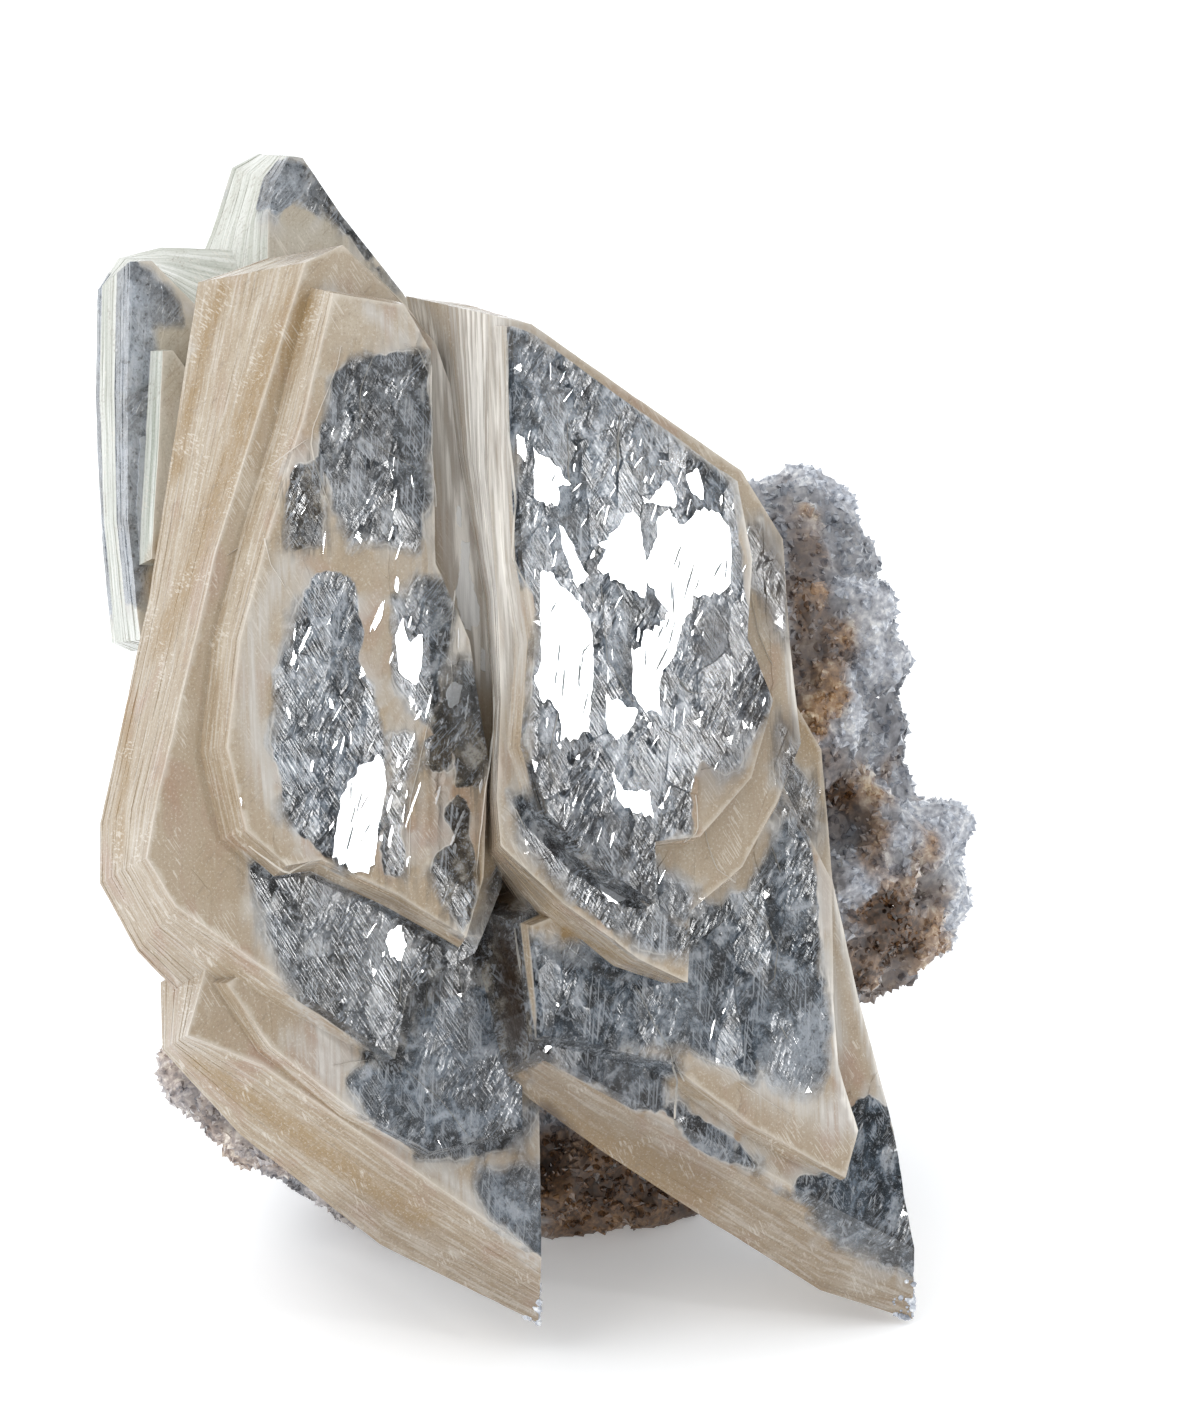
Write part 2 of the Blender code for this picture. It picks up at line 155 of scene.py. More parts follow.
RIGHT_WINDOWS = [
    (20.5, 0.08, [(-12, 74.6), (-9.6, 74.1), (1.7, 67.2), (7, 63.9), (7.3, 60.4), (8, 55.8),
        (8.9, 52.3), (10.3, 49.5), (10.1, 46.8), (8.9, 44.6), (7.7, 42.1), (6.3, 41.6),
        (4.2, 42.7), (3.4, 40.4), (3.4, 37.1), (0.5, 36.5), (0.5, 32.2), (-4.1, 34.9),
        (-7.9, 37.7), (-9.8, 40), (-10.2, 45), (-9.3, 49.3), (-9.3, 53.7), (-10.7, 56),
        (-11.2, 58.3), (-10.8, 63.4), (-11.5, 67.1)]),
    ((17.8, 20.8), 0.3, [(-10.4, 39.7), (-7.9, 36.3), (-3.4, 33.3), (1.5, 31.1), (4.8, 30.5),
        (5.2, 33.1), (1.1, 36), (-3.4, 38.7), (-7.7, 40.5)]),
    (18, 0.35, [(-10.6, 40.2), (-8.8, 35.8), (-4.9, 31.8), (0.4, 28.6), (4.1, 27.7), (5.4, 29.8),
        (1.7, 31.9), (-2.9, 34.6), (-7.1, 38.6)]),
    (18, 1.0, [(8.7, 60.6), (10.2, 60.7), (12.8, 57.2), (12.8, 52.4), (10.6, 55.2), (8.8, 58)]),
    (18, 1.0, [(12.1, 46.2), (13.9, 44.3), (14.2, 42.4), (12.9, 40.8), (12.1, 41.4)]),
    (12, 1.0, [(14.8, 41.8), (16.8, 40.4), (19.2, 37.2), (16.6, 38.4), (14.6, 39.5)]),
    (10, 1.0, [(15, 45), (17.4, 44), (19.6, 41.8), (19.6, 37.4), (17, 40.4), (15, 42)]),
    ((2, 10.6), 0.9, [(-10, 34), (-4.2, 31.5), (-3.6, 20.5), (-6.5, 18.2), (-10, 24)]),
    (12, -1.0, [(12.4, 23.6), (14, 22.4), (17, 25.4), (19.6, 25.6), (19.6, 20.6), (19.2, 18.6),
        (17, 17.8), (14.5, 18.8), (12.6, 21)]),
    (12, -0.8, [(-5.6, 29.8), (-1, 29), (2.4, 28.2), (1.4, 26.2), (-2, 25.4), (-5.2, 26.6)]),
    (12, 0.1, [(-5.8, 29.7), (0, 28.8), (7.3, 27.5), (7.6, 32.7), (10.1, 32.8), (12.5, 33.8),
        (14.3, 37.1), (16.2, 40.6), (18.1, 36.8), (18.9, 30.3), (19.1, 25.3), (18.2, 22.5),
        (13.7, 20.9), (13.1, 18.9), (10.5, 20), (7.6, 21.2), (5.7, 21.3), (0, 20.8),
        (-5.8, 20.7)]),
    ((9.4, 12.4), 0.2, [(-5.4, 22.7), (0.5, 22), (6.5, 20.9), (6.5, 17.5), (5.8, 16.3), (3, 17.2),
        (-1.2, 19.5), (-4.9, 21.1)]),
    (10, 0.1, [(6, 17), (7.4, 17.6), (11.1, 15.5), (14.4, 13), (14.5, 12.1), (9.4, 13.8)]),
    (10, 0.05, [(21.9, 16.7), (24.1, 18.3), (25.9, 16.9), (27.2, 11.5), (28.9, 5.6), (26.7, 5.9),
        (23.2, 7.5), (19.7, 9), (16.7, 10.6), (17.8, 11.8), (21, 12.1)]),
    ((4.5, 10.6), 0.05, [(18.6, 10.6), (22.3, 9.5), (26.1, 7.8), (29.4, 6.4), (29.8, 4),
        (26.9, 4.5), (22.3, 6.6), (19.5, 8.4)])]
BLADE_WINDOWS = [
    ((-9.5, -7), -0.9, [(-20, 89.3), (-18.9, 90.7), (-16.8, 91.3), (-15.3, 90), (-14.5, 88.1),
        (-15.3, 86.9), (-17.7, 87.5), (-19.2, 86), (-19.7, 87.3)]),
    ((-9, -7), 0.5, [(-15.3, 88.8), (-13.8, 88.2), (-8.7, 81.8), (-9.4, 81.6), (-12.6, 85.1),
        (-15, 87.4)])]
SIDE_WINDOWS = [
    ((-7.5, -4.6), -1.0, [(-32.6, 81.5), (-31.6, 81.9), (-28.9, 80), (-27, 77.2), (-29.5, 76.4),
        (-29.9, 69.5), (-30.4, 62), (-30.6, 55), (-32, 55), (-32.6, 68.5)])]

# ---- Facets that mirror the lamp: (level, outline) ----
LEFT_GLINTS = [
    (12, [(-22, 35.2), (-20.3, 34.2), (-19.1, 34.2), (-18.6, 34.8), (-18.2, 37.5), (-17.5, 40.8),
        (-17.8, 42.9), (-19.3, 42.3), (-20.5, 41.1), (-21.2, 39.8), (-21.6, 37.6)]),
    (12, [(-17, 51.8), (-16.3, 53.1), (-15.7, 51.2), (-14.7, 52.1), (-14.7, 49.6), (-15.2, 48.1),
        (-16.7, 49.2)]),
    (9, [(-10.2, 59.7), (-9.5, 59.6), (-9.6, 57.7), (-9.1, 56), (-8.7, 54.7), (-8.7, 53.4),
        (-9.7, 52.7), (-10.2, 53.6), (-10.7, 55.6), (-10.5, 56.7), (-10.3, 58)]),
    (9, [(-10.6, 62.4), (-10.2, 62.1), (-10.2, 60.6), (-10.6, 60.9)]),
    (9, [(-8.5, 51.6), (-8.2, 51.4), (-8.2, 49.8), (-8.6, 49.9)]),
    (12, [(-12.8, 47.8), (-12.3, 48.6), (-11.4, 48.4), (-11.7, 47), (-12.5, 46.6)]),
    (9, [(-16.4, 29.2), (-16, 30.2), (-15, 30.4), (-14.6, 29), (-15.1, 27.9), (-15.9, 28.1)]),
    (12, [(-18.8, 52.6), (-18.1, 54.2), (-17.8, 54.4), (-18, 53.1), (-18.6, 52.1)])]
RIGHT_GLINTS = [
    (20.5, [(-4.4, 56.6), (-3.6, 58.1), (-4.2, 58.5), (-2.9, 59.4), (-2.1, 60.6), (-1.4, 61.3),
        (-0.8, 60.4), (-0.3, 57.2), (0.1, 58.1), (0.6, 59.2), (0.6, 60.8), (1.6, 61.1), (2.7, 60),
        (3.7, 61.1), (5.2, 61.7), (6.7, 60.4), (6.9, 58.4), (6.7, 55.7), (5.4, 55.1), (3.7, 55),
        (3.5, 53.8), (2.7, 52.7), (2, 50.2), (1.1, 49.3), (0.8, 48), (0.9, 46), (-0.4, 46),
        (-1.4, 47.5), (-1.4, 49.7), (-1.6, 51), (-0.7, 51), (-0.4, 52.1), (0.8, 52.6), (1.6, 53.7),
        (-0.2, 55.8), (-0.4, 54.6), (-2.8, 55.9)]),
    (20.5, [(3, 64), (4, 64.7), (4.5, 63.1), (4.5, 62.2), (3.4, 62.9)]),
    (20.5, [(-0.4, 61.7), (0.6, 62.7), (1.6, 63.7), (2.3, 62.3), (2.1, 61.4), (0.6, 61.6)]),
    (20.5, [(-9.5, 65.2), (-7.7, 64.2), (-6.4, 62.8), (-7.4, 62.5), (-7.4, 61.2), (-8.4, 61.2),
        (-9.5, 61.7)]),
    (20.5, [(-11.3, 66.4), (-10.3, 66), (-10, 64.9), (-10.2, 64.2), (-11, 65.1)]),
    (20.5, [(-7.4, 59.7), (-6.4, 58.6), (-5.5, 56.7), (-5, 56.1), (-5.9, 55.1), (-6.7, 56.9),
        (-7.2, 58.1)]),
    (20.5, [(-9, 56.1), (-8.1, 56.3), (-7.2, 55.3), (-5.7, 54.1), (-4.8, 52.6), (-4.6, 50.6),
        (-4.6, 48.9), (-4.9, 46), (-5, 44.5), (-6.2, 43.7), (-7.2, 43.8), (-7.4, 45.7),
        (-8.1, 46.8), (-8.8, 46.3), (-9.5, 48.4), (-8.9, 49.6), (-9, 53.3)]),
    (20.5, [(-3.6, 47.4), (-2.1, 46.6), (-0.9, 46.2), (-1.4, 44.9), (-2.8, 43.9), (-3.6, 45)]),
    (20.5, [(-3.1, 41.6), (-2.1, 40.3), (0, 40.3), (0.3, 38.2), (-1.4, 38.7), (-2.6, 39.4)]),
    (18, [(-2.6, 34.3), (-1.1, 33.7), (-0.7, 32.3), (-1.9, 31.9), (-2.9, 33)])]
SIDE_GLINTS = [
    (-5, [(-30.9, 67.9), (-29.9, 68.5), (-29.7, 65.6), (-29.8, 58.7), (-30.8, 58.6),
        (-31.1, 63.2)])]

# ---- Thin bright cleavage lines: (level, width, points) ----
LEFT_LINES = [
    (12, 0.13, [(-21.4, 73.3), (-21.7, 71.9), (-22.7, 69.2), (-23.6, 67.1), (-23.7, 65.8),
        (-23.3, 64), (-22.7, 62.4), (-22.3, 61.4)]),
    (12, 0.09, [(-26.9, 64.1), (-25.4, 65.2), (-24, 66.2)]),
    (12, 0.11, [(-18.9, 72.5), (-19.8, 70.2), (-19.9, 68.4), (-19.6, 66.6)]),
    (12, 0.11, [(-19.7, 66.6), (-18.2, 65.9), (-15.3, 64.5)]),
    (12, 0.1, [(-14, 72.4), (-14, 65.8), (-13.6, 61.7)]),
    (12, 0.12, [(-21.4, 59.7), (-19.7, 59.2), (-19.2, 58.4), (-18.4, 58.3), (-18.2, 60.2)]),
    (12, 0.11, [(-27.4, 58.6), (-26.9, 56.7), (-25.8, 55.1)]),
    (9, 0.09, [(-29.2, 57.6), (-26.8, 59.2)]),
    (12, 0.1, [(-20.8, 49.3), (-19.4, 48.2), (-18.4, 46.9)]),
    (12, 0.08, [(-26.5, 40.6), (-24.6, 39.2)]),
    (12, 0.14, [(-28.5, 35.9), (-26.8, 34.7), (-25.4, 33.9), (-23.3, 35.1)]),
    (12, 0.12, [(-14.1, 45.9), (-15.7, 39.5), (-15.7, 34.1)]),
    (12, 0.13, [(-8.8, 49.8), (-8.8, 45.1), (-9.5, 40.7), (-10.3, 34.5), (-10.1, 33.1),
        (-11.1, 29.5)]),
    (12, 0.1, [(-13.5, 33.2), (-11.4, 33.3), (-10.4, 35)]),
    (9, 0.12, [(-14.4, 32.2), (-10.4, 29.8), (-9.4, 29)]),
    (9, 0.12, [(-14.9, 30.9), (-15.1, 24.7)]),
    (9, 0.09, [(-18.6, 26.6), (-16.7, 25.9), (-15.1, 24.7)]),
    (6.5, 0.1, [(-11.9, 26.9), (-11.9, 23.7)]), (6.5, 0.1, [(-9.3, 27.8), (-8.9, 25.2)]),
    (6.5, 0.1, [(-13.9, 20), (-10.7, 17.5), (-8.5, 14.9)]),
    (6.5, 0.12, [(-19.5, 20), (-16.4, 20.5), (-14.4, 20.8)]),
    (5, 0.1, [(-10.1, 14.3), (-7.5, 14), (-7, 13.2)]),
    (5, 0.16, [(-4.3, 22.3), (-3.2, 19.7), (-2.3, 17.8)]),
    (12, 0.1, [(-16.3, 73.8), (-15, 73.5), (-14.3, 71.9)]),
    (12, 0.1, [(-12, 55.5), (-12.4, 51.7), (-12.3, 48)]),
    (9, 0.14, [(-19.4, 81), (-16.3, 78.6), (-13.2, 75.3)])]
RIGHT_LINES = [
    (10, 0.18, [(-6.2, 30.4), (-5.6, 27.2), (-5.0, 24.4)]),
    (10, 0.14, [(-4.9, 23.8), (-4.3, 21.9)]),
    (20.5, 0.14, [(-11.6, 73.2), (-11.6, 70.6), (-11.7, 67.6), (-10.9, 61.8), (-11.2, 57.2),
        (-10.2, 55.3)]),
    (20.5, 0.12, [(-6.8, 67.9), (-6.6, 62.9)]),
    (20.5, 0.12, [(-2.5, 68.2), (-2.6, 63.1), (-1.5, 61.8)]),
    (18, 0.14, [(8.9, 59.1), (9.5, 56.7), (10.4, 52.6), (11.6, 50.3)]),
    (20.5, 0.1, [(-4, 55.4), (-3.5, 49.9), (-1.3, 46.8)]),
    (20.5, 0.1, [(2.3, 48.8), (3.3, 47.7), (6.1, 47.6)]),
    (20.5, 0.13, [(1, 45), (2.7, 44.1), (3.5, 42.5), (3.9, 39.5), (4, 37.3), (2.9, 36.5)]),
    (18, 0.12, [(5.6, 39.1), (6, 36.8), (6.8, 34.8), (8.4, 33.8)]),
    (12, 0.14, [(11.9, 33.4), (14, 31.2), (15.1, 29.4), (14.8, 26.9), (13.4, 26)]),
    (12, 0.1, [(14.6, 36.9), (15.4, 35)]), (12, 0.1, [(15.3, 23.2), (15.9, 22.3)]),
    (18, 0.12, [(-9.8, 38.8), (-9, 37.3)]),
    (12, 0.12, [(3, 26.1), (4.6, 23.1), (5.6, 21.7), (7.1, 18.9)]),
    (12, 0.12, [(6.9, 21.9), (11.6, 18.9), (16.2, 16.4)]),
    (12, 0.12, [(5.7, 21.6), (6.5, 19), (6.3, 16.1)]),
    (18, 0.1, [(-7.8, 39.5), (-6, 36.7), (-3, 34.4), (0.4, 32.3)]),
    (20.5, 0.1, [(-7.3, 46.7), (-8.3, 42.3), (-7.3, 39.4)])]

# ---- Soft streaks on and under the faces: (half width, points (a, l, w)) ----
# Veils stronger than 1 are painted light: they lighten their places towards near-white, chiefly
# walls that lie in shade between the crystals.
VEILS_AND_PAINTED_LIGHT = [
    (2.0, [(-11, 78, 4), (-11.2, 74, 8)], 1.6),
    (1.7, [(-11.6, 73, 9), (-10.9, 66.5, 9), (-10.2, 60, 9), (-9.4, 55, 9), (-8.6, 50, 9)], 1.75),
    (4.4, [(-11.9, 77, 15), (-11.6, 68, 15.5), (-11.3, 60, 15.5), (-10.6, 50, 15)], 2.2),
    (0.45, [(10.6, 61.3, 18), (12.3, 58.4, 18), (13, 53.8, 18), (13.2, 49.2, 18),
        (14.2, 44.5, 18)], 2.0),
    (0.5, [(14.5, 39, 12), (17.9, 35.3, 12), (18.8, 30.7, 12), (19.9, 25.4, 12), (20.3, 20.3, 12),
        (22, 15.3, 12)], 1.8),
    (0.45, [(20.9, 34.7, 10), (23.2, 25.4, 10), (26.2, 15.4, 10), (28, 6.2, 10)], 1.8),
    (0.4, [(-11.2, 74.3, 20.5), (-9.5, 73.8, 20.5), (7.4, 63.8, 20.5), (8.6, 58, 20.5),
        (8.2, 52, 20.5)], 1.5),
    (2.4, [(-10.2, 46, 15.5), (-9.8, 41, 15.5)], 1.7),
    (0.6, [(-11.1, 73.2, 18.5), (-11, 69.9, 18.3), (-11, 66.9, 18.2), (-10.6, 62, 18.6),
        (-10.5, 57.2, 18.2), (-9.9, 54.2, 18.6), (-10.1, 49.8, 18)]),
    (0.7, [(-9.9, 46.8, 18.2), (-9.6, 42.4, 18.4), (-8.3, 38.3, 19.9), (-4.1, 34.9, 20.5),
        (-0.6, 32.9, 20.5)]),
    (0.9, [(-26.6, 31.7, 9), (-24.7, 27, 9), (-20.5, 22.6, 6.5), (-18.5, 20.3, 6.5)]),
    (1.1, [(-22.6, 22, 6.5), (-20, 20.6, 6.5), (-18.6, 19.2, 6.5)]),
    (0.8, [(-22.1, 21.5, 6.5), (-18.5, 17.8, 6.5), (-10.9, 12.8, 5), (-5.1, 8.3, 5),
        (-1.6, 5.3, 3.8)]),
    (0.8, [(19.1, 37.7, 10), (18.9, 33, 12), (20.7, 27.1, 10), (21.4, 22.4, 10), (20.6, 17.6, 12),
        (22.4, 12.3, 10)]),
    (1.6, [(14, 18.7, 12), (17, 17.6, 12), (20.3, 16.2, 12)]),
    (1.0, [(-25.4, 57.1, 12), (-27.6, 53.3, 12), (-28.5, 49.6, 12), (-28.5, 45.1, 12),
        (-27, 40, 12), (-23.7, 36.4, 12)]),
    (0.5, [(-30.1, 80.7, -5), (-26.8, 78.2, -5), (-28.8, 74.1, 1.2)]),
    (0.7, [(-21, 78, 9), (-19, 76.2, 12), (-15.8, 73.8, 12)]),
    (0.6, [(-0.8, 64.2, 20.5), (2.6, 62.1, 20.5)])]
OCHRE = [
    (2.4, [(14.5, 52, 12), (18, 47.5, 10), (20.5, 44.5, 8)]),
    (1.2, [(21.5, 40, 8), (22, 34, 7), (24.5, 26, 7)], 0.8),
    (2.0, [(-23.4, 76.3, 9), (-26.2, 70.3, 7.9), (-28.7, 63.4, 7.4), (-30.7, 57.5, 6.3),
        (-32.2, 51.6, 4.2)]),
    (1.0, [(-27.4, 78.5, 2.9), (-28.3, 74.2, 2.1), (-30.1, 64.8, 1.6), (-30, 56.4, -5)]),
    (1.2, [(-33.7, 47.3, 1), (-35, 41.1, 3.3), (-35.6, 35.8, 4.1)]),
    (1.0, [(-10.8, 33.8, 12), (-5.4, 31.4, 9.3), (-3.3, 30.2, 12), (-0.3, 28.7, 14.4)]),
    (1.6, [(-28.2, 20.4, 1.5), (-22.6, 16.7, 1.9), (-16.1, 12.3, 1.9), (-10.4, 8.8, 2)]),
    (2.2, [(-1.6, 16.8, 6.1), (1, 15.3, 6.3), (5.8, 13, 6.9), (10.9, 10.7, 7)]),
    (1.2, [(-10.7, 58.2, 9), (-12.3, 47.2, 12), (-11.8, 39.8, 12)], 0.5)]
# Umber streaks are partly a brown tint of the crystals and partly painted shade: dark brown in the
# recesses and crevices between the crystals and along their lower edges.
UMBER_AND_PAINTED_SHADE = [
    (3.2, [(6.5, 52, 20.5), (7.8, 46, 20.5), (5.5, 42.5, 20.5)], 0.55),
    (2.2, [(-8.5, 42, 20.5), (-4.5, 38, 20.5), (0, 34.5, 20.5)], 0.35),
    (1.9, [(11, 59.5, 18), (12.4, 54.5, 18)], 0.75),
    (1.5, [(12.8, 45.5, 18), (13.6, 42, 18)], 0.7), (1.5, [(15, 41.5, 11), (18.6, 39, 11)], 0.6),
    (4.0, [(-5, 20, 8), (2.3, 16, 8), (10.4, 12, 8)], 0.5),
    (3.6, [(10.4, 12, 8), (20.7, 6.5, 8), (29, 3.4, 8)], 0.34),
    (3.0, [(-14, 13, 3), (-8, 9.5, 3), (-2, 6, 3)], 0.18),
    (2.0, [(-32, 80, -8), (-32, 55, -8)], 0.14),
    (1.6, [(13.5, 52, 16), (14.5, 47, 14), (15, 44, 13)], 0.6),
    (1.5, [(-6, 33, 7), (-6.4, 28.8, 9), (-5.3, 22.8, 8.3)]),
    (1.1, [(-1.8, 17, 6.2), (0.5, 15, 5.5)]),
    (1.0, [(-26.6, 35.2, 9.9), (-21, 33.7, 9.3), (-16, 31.9, 10.9), (-8.3, 28.5, 6.5)], 0.5),
    (5.0, [(-3, 15, 3), (6, 11, 3.5), (16, 7.5, 4), (26, 3, 4)], 0.42),
    (4.0, [(-14, 9, 0), (-8, 6, 0), (-2, 3, 0)], 0.3),
    (1.6, [(-7.5, 36.5, 18), (-3, 33.5, 16), (2, 29, 15)], 0.35)]

# Shining dashes between the left crystal's windows: width in mm, and both ends in (a, l)
LEFT_DASHES = [
    (0.23, (-17.9, 54.4), (-19, 52)), (0.38, (-16.8, 56.3), (-16.8, 55.1)),
    (0.31, (-23.7, 52.3), (-24.7, 50.1)), (0.38, (-24.9, 50.1), (-25.3, 49.2)),
    (0.23, (-13.8, 48.2), (-14.5, 45.6)), (0.18, (-10.9, 47.7), (-11.2, 45.7)),
    (0.23, (-15.3, 44.6), (-15.8, 43.3)), (0.2, (-14.8, 41), (-16.1, 37.5)),
    (0.2, (-13.2, 40.8), (-13.6, 39.3)), (0.23, (-11.2, 39.1), (-12.4, 36.2)),
    (0.31, (-17.1, 37.7), (-17.4, 36)), (0.38, (-16.6, 40.8), (-16.5, 40.3)),
    (0.23, (-21, 44.2), (-21.3, 42.8)), (0.31, (-23.5, 42.4), (-23.6, 41.5)),
    (0.31, (-25.6, 46.2), (-25.3, 45.3)), (0.38, (-22.2, 47), (-21.9, 46.2)),
    (0.3, (-29.2, 39.4), (-29.2, 38.6))]

# Chips also shine along this strip between the left crystal's windows
BRIGHT_STRIP = [(-12.0, 62.0, 12.0), (-9.0, 50.0, 12.0), (-7.0, 36.0, 12.0), (-6.0, 28.0, 9.0)]

# Patches of the rock, seen from the front: kind, x, z, half width, half height, strength. The rust
# patches are iron stain; the deep ones are painted shade, dark brown in the rock's hollows.
ROCK_STAINS_AND_SHADE = [
    ("rust", 20.8, 52, 2.2, 4.5, 1.0), ("rust", 21.6, 45.5, 3.0, 5.5, 1.0),
    ("rust", 22.8, 38, 1.2, 2.5, 0.6), ("rust", 24.6, 34, 3.4, 2.8, 1.0),
    ("rust", 27.5, 22.5, 6.0, 7.5, 0.9), ("rust", 4, 3, 12, 9, 1.0),
    ("deep", 20.4, 50, 0.7, 2.4, 0.7), ("deep", 23.4, 34.6, 1.8, 1.8, 1.0),
    ("deep", 25.6, 26.6, 2.8, 2.4, 1.0), ("deep", 28.2, 23.2, 2.6, 2.0, 0.95),
    ("deep", 24.6, 21.2, 1.6, 2.6, 0.8), ("deep", 4, 4.5, 9, 6, 0.9)]

# ---- Camera and lamp ----
LENS, SENSOR = 135.0, 36.0  # mm
EYE = Vector((0.00440, -0.39547, 0.18808))  # m: 20 degrees above the level, facing +Y
PITCH = math.radians(70.0)
LAMP_DISTANCE = 1.2  # m
SHINE_SPOT = (0.0, 53.0, 20.5)  # (a, l, w) of the point that mirrors the lamp to the eye
AIM = Vector((0, 0, 0.045))  # m: the middle of the cluster, which the lights face
SOFT_BOX, SOFT_BOX_SIZE = Vector((-0.75, -0.75, 1.25)), 0.9  # m
FLOOR_SHEET = [(-4, -3), (4, -3), (4, 6), (-4, 6)]  # m: corners of the floor
FLOOR_DROP = 0.0002  # m: how far the floor lies under the rock
DUSK_EDGES = (0.72, 0.93)  # cosine to the mirrored side where the room starts and ends to darken

# ---- Glassy grains on the crystals' tips ----
TIPS = [(0.9, 0.9, -1.0), (29.9, 0.9, 6.2)]  # (a, l, w) of the two lowest crystal corners
GRAINS = 110  # on each tip
GRAIN_SPREAD, GRAIN_SHIFT = (0.9, 1.5, 1.2), (-0.4, 0.9, 0.3)  # mm along a, l and w
GRAIN_SIZE = (0.0001, 0.00032)  # m
GRAIN_FLOOR = 0.0003  # m: no grain sits lower than this


# =============================== sizes and colours ===============================

class CrystalSizes(bpy.types.PropertyGroup):
    step: bpy.props.FloatProperty(
        name="Edge step", description="Spacing of the points along a plate's edge, mm",
        default=0.55, min=0.2, max=3.0)
    ledge: bpy.props.FloatProperty(
        name="Ledge depth", description="How far one growth ledge stands out from the next, mm",
        default=0.02, min=0.0, max=1.0)
    layer: bpy.props.FloatProperty(
        name="Layer thickness", description="Mean thickness of one growth layer, mm",
        default=0.38, min=0.15, max=3.0)
    grid: bpy.props.FloatProperty(
        name="Face grid", description="Spacing of the points inside a face, mm",
        default=0.5, min=0.2, max=3.0)
    cell_width: bpy.props.FloatProperty(
        name="Mosaic width", description="Width of one block of a face's mosaic, mm",
        default=2.4, min=0.5, max=20.0)
    cell_length: bpy.props.FloatProperty(
        name="Mosaic length", description="Length of one block of a face's mosaic, mm",
        default=8.0, min=1.0, max=40.0)
    tilt: bpy.props.FloatProperty(
        name="Mosaic tilt", description="Largest tilt of one block against its face",
        default=math.radians(2.4), min=0.0, max=math.radians(10), subtype="ANGLE")
    chips: bpy.props.FloatProperty(
        name="Chips", description="Shining chips for each mm round a shining facet",
        default=0.75, min=0.0, max=5.0)


class CrystalColours(bpy.types.PropertyGroup):
    tan: bpy.props.StringProperty(name="Tan", description="Milky heulandite, sRGB",
                                  default="#A0907A")
    rose: bpy.props.StringProperty(name="Rose", description="Pinkish milky zones, sRGB",
                                   default="#9C8370")
    cream: bpy.props.StringProperty(name="Cream", description="Thin milky parts, sRGB",
                                    default="#B3A795")
    ochre: bpy.props.StringProperty(name="Ochre", description="Iron-stained growth zones, sRGB",
                                    default="#8F7650")
    pale: bpy.props.StringProperty(name="Pale", description="Edges of the pale blades, sRGB",
                                   default="#BEC2BA")
    density: bpy.props.FloatProperty(
        name="Absorption", description="Absorption of clear heulandite, per metre",
        default=60.0, min=0.0, max=1000.0)


class RockSettings(bpy.types.PropertyGroup):
    voxel: bpy.props.FloatProperty(
        name="Skin cell", description="Cell in which the rock's skin is remade",
        default=0.00055, min=0.0003, max=0.003, subtype="DISTANCE")
    density: bpy.props.FloatProperty(
        name="Druse density", description="Quartz points per square metre of rock",
        default=1830000.0, min=0.0)
    point: bpy.props.FloatProperty(
        name="Quartz point", description="Radius of a middling quartz point",
        default=0.0004, min=0.0001, max=0.003, subtype="DISTANCE")
    quartz: bpy.props.StringProperty(name="Quartz", description="Clean druse, sRGB",
                                     default="#C6CBD4")
    rust: bpy.props.StringProperty(name="Rust", description="Iron stain beside the crystals, sRGB",
                                   default="#8A6A4C")
    # The colour of the rock's painted shade: dark brown beside the crystals and in the deep
    # patches.
    umber_and_painted_shade: bpy.props.StringProperty(name="Umber", description="Deep stained hollows, sRGB",
                                    default="#4A301C")
    seed: bpy.props.IntProperty(name="Seed", description="Seed of the druse", default=4)


class StageSettings(bpy.types.PropertyGroup):
    paper: bpy.props.StringProperty(name="Paper", description="Floor, sRGB", default="#F8F9FA")
    glow: bpy.props.FloatProperty(name="Floor glow", description="Light that the floor gives off",
                                  default=0.22, min=0.0)
    sky: bpy.props.FloatProperty(name="Room light", description="Strength of the white room",
                                 default=1.35, min=0.0)
    dusk: bpy.props.FloatProperty(name="Dark side", description="Strength of the room that the "
                                  "pearly faces mirror", default=0.2, min=0.0)
    soft: bpy.props.FloatProperty(name="Soft box", description="Power of the big soft light, W",
                                  default=5.0, min=0.0)
    lamp: bpy.props.FloatProperty(name="Lamp", description="Power of the small lamp, W",
                                  default=1.5, min=0.0)
    lamp_size: bpy.props.FloatProperty(name="Lamp width", description="Diameter of the lamp",
                                       default=0.085, min=0.01, subtype="DISTANCE")


# =============================== small helpers ===============================

def linear(code):
    """Linear RGBA of an sRGB hex colour."""
    parts = [int(code[k:k + 2], 16) / 255 for k in (1, 3, 5)]
    return [c / 12.92 if c <= 0.04045 else ((c + 0.055) / 1.055) ** 2.4 for c in parts] + [1.0]


def crystal_axes():
    """Rows a, l and w: the crystals' directions in the row frame."""
    long_axis = Vector((0, math.sin(LEAN), math.cos(LEAN)))
    front = Vector((0, -math.cos(LEAN), math.sin(LEAN)))
    across = math.cos(TURN) * Vector((1, 0, 0)) - math.sin(TURN) * front
    pearly = math.sin(TURN) * Vector((1, 0, 0)) + math.cos(TURN) * front
    return np.array([across, long_axis, pearly])


AXES = crystal_axes()


def to_row(points):
    """(a, l, w) points in mm to the row frame in metres."""
    return (np.asarray(points, float) @ AXES - (CENTRE[0], CENTRE[1], FLOOR)) / 1000


def lamp_place():
    """Where the lamp stands, so that the shining spot mirrors it to the eye."""
    spot = Vector(to_row([SHINE_SPOT])[0])
    to_eye = (EYE - spot).normalized()
    pearly = Vector(AXES[2])
    mirrored = 2 * pearly.dot(to_eye) * pearly - to_eye
    return spot + mirrored * LAMP_DISTANCE


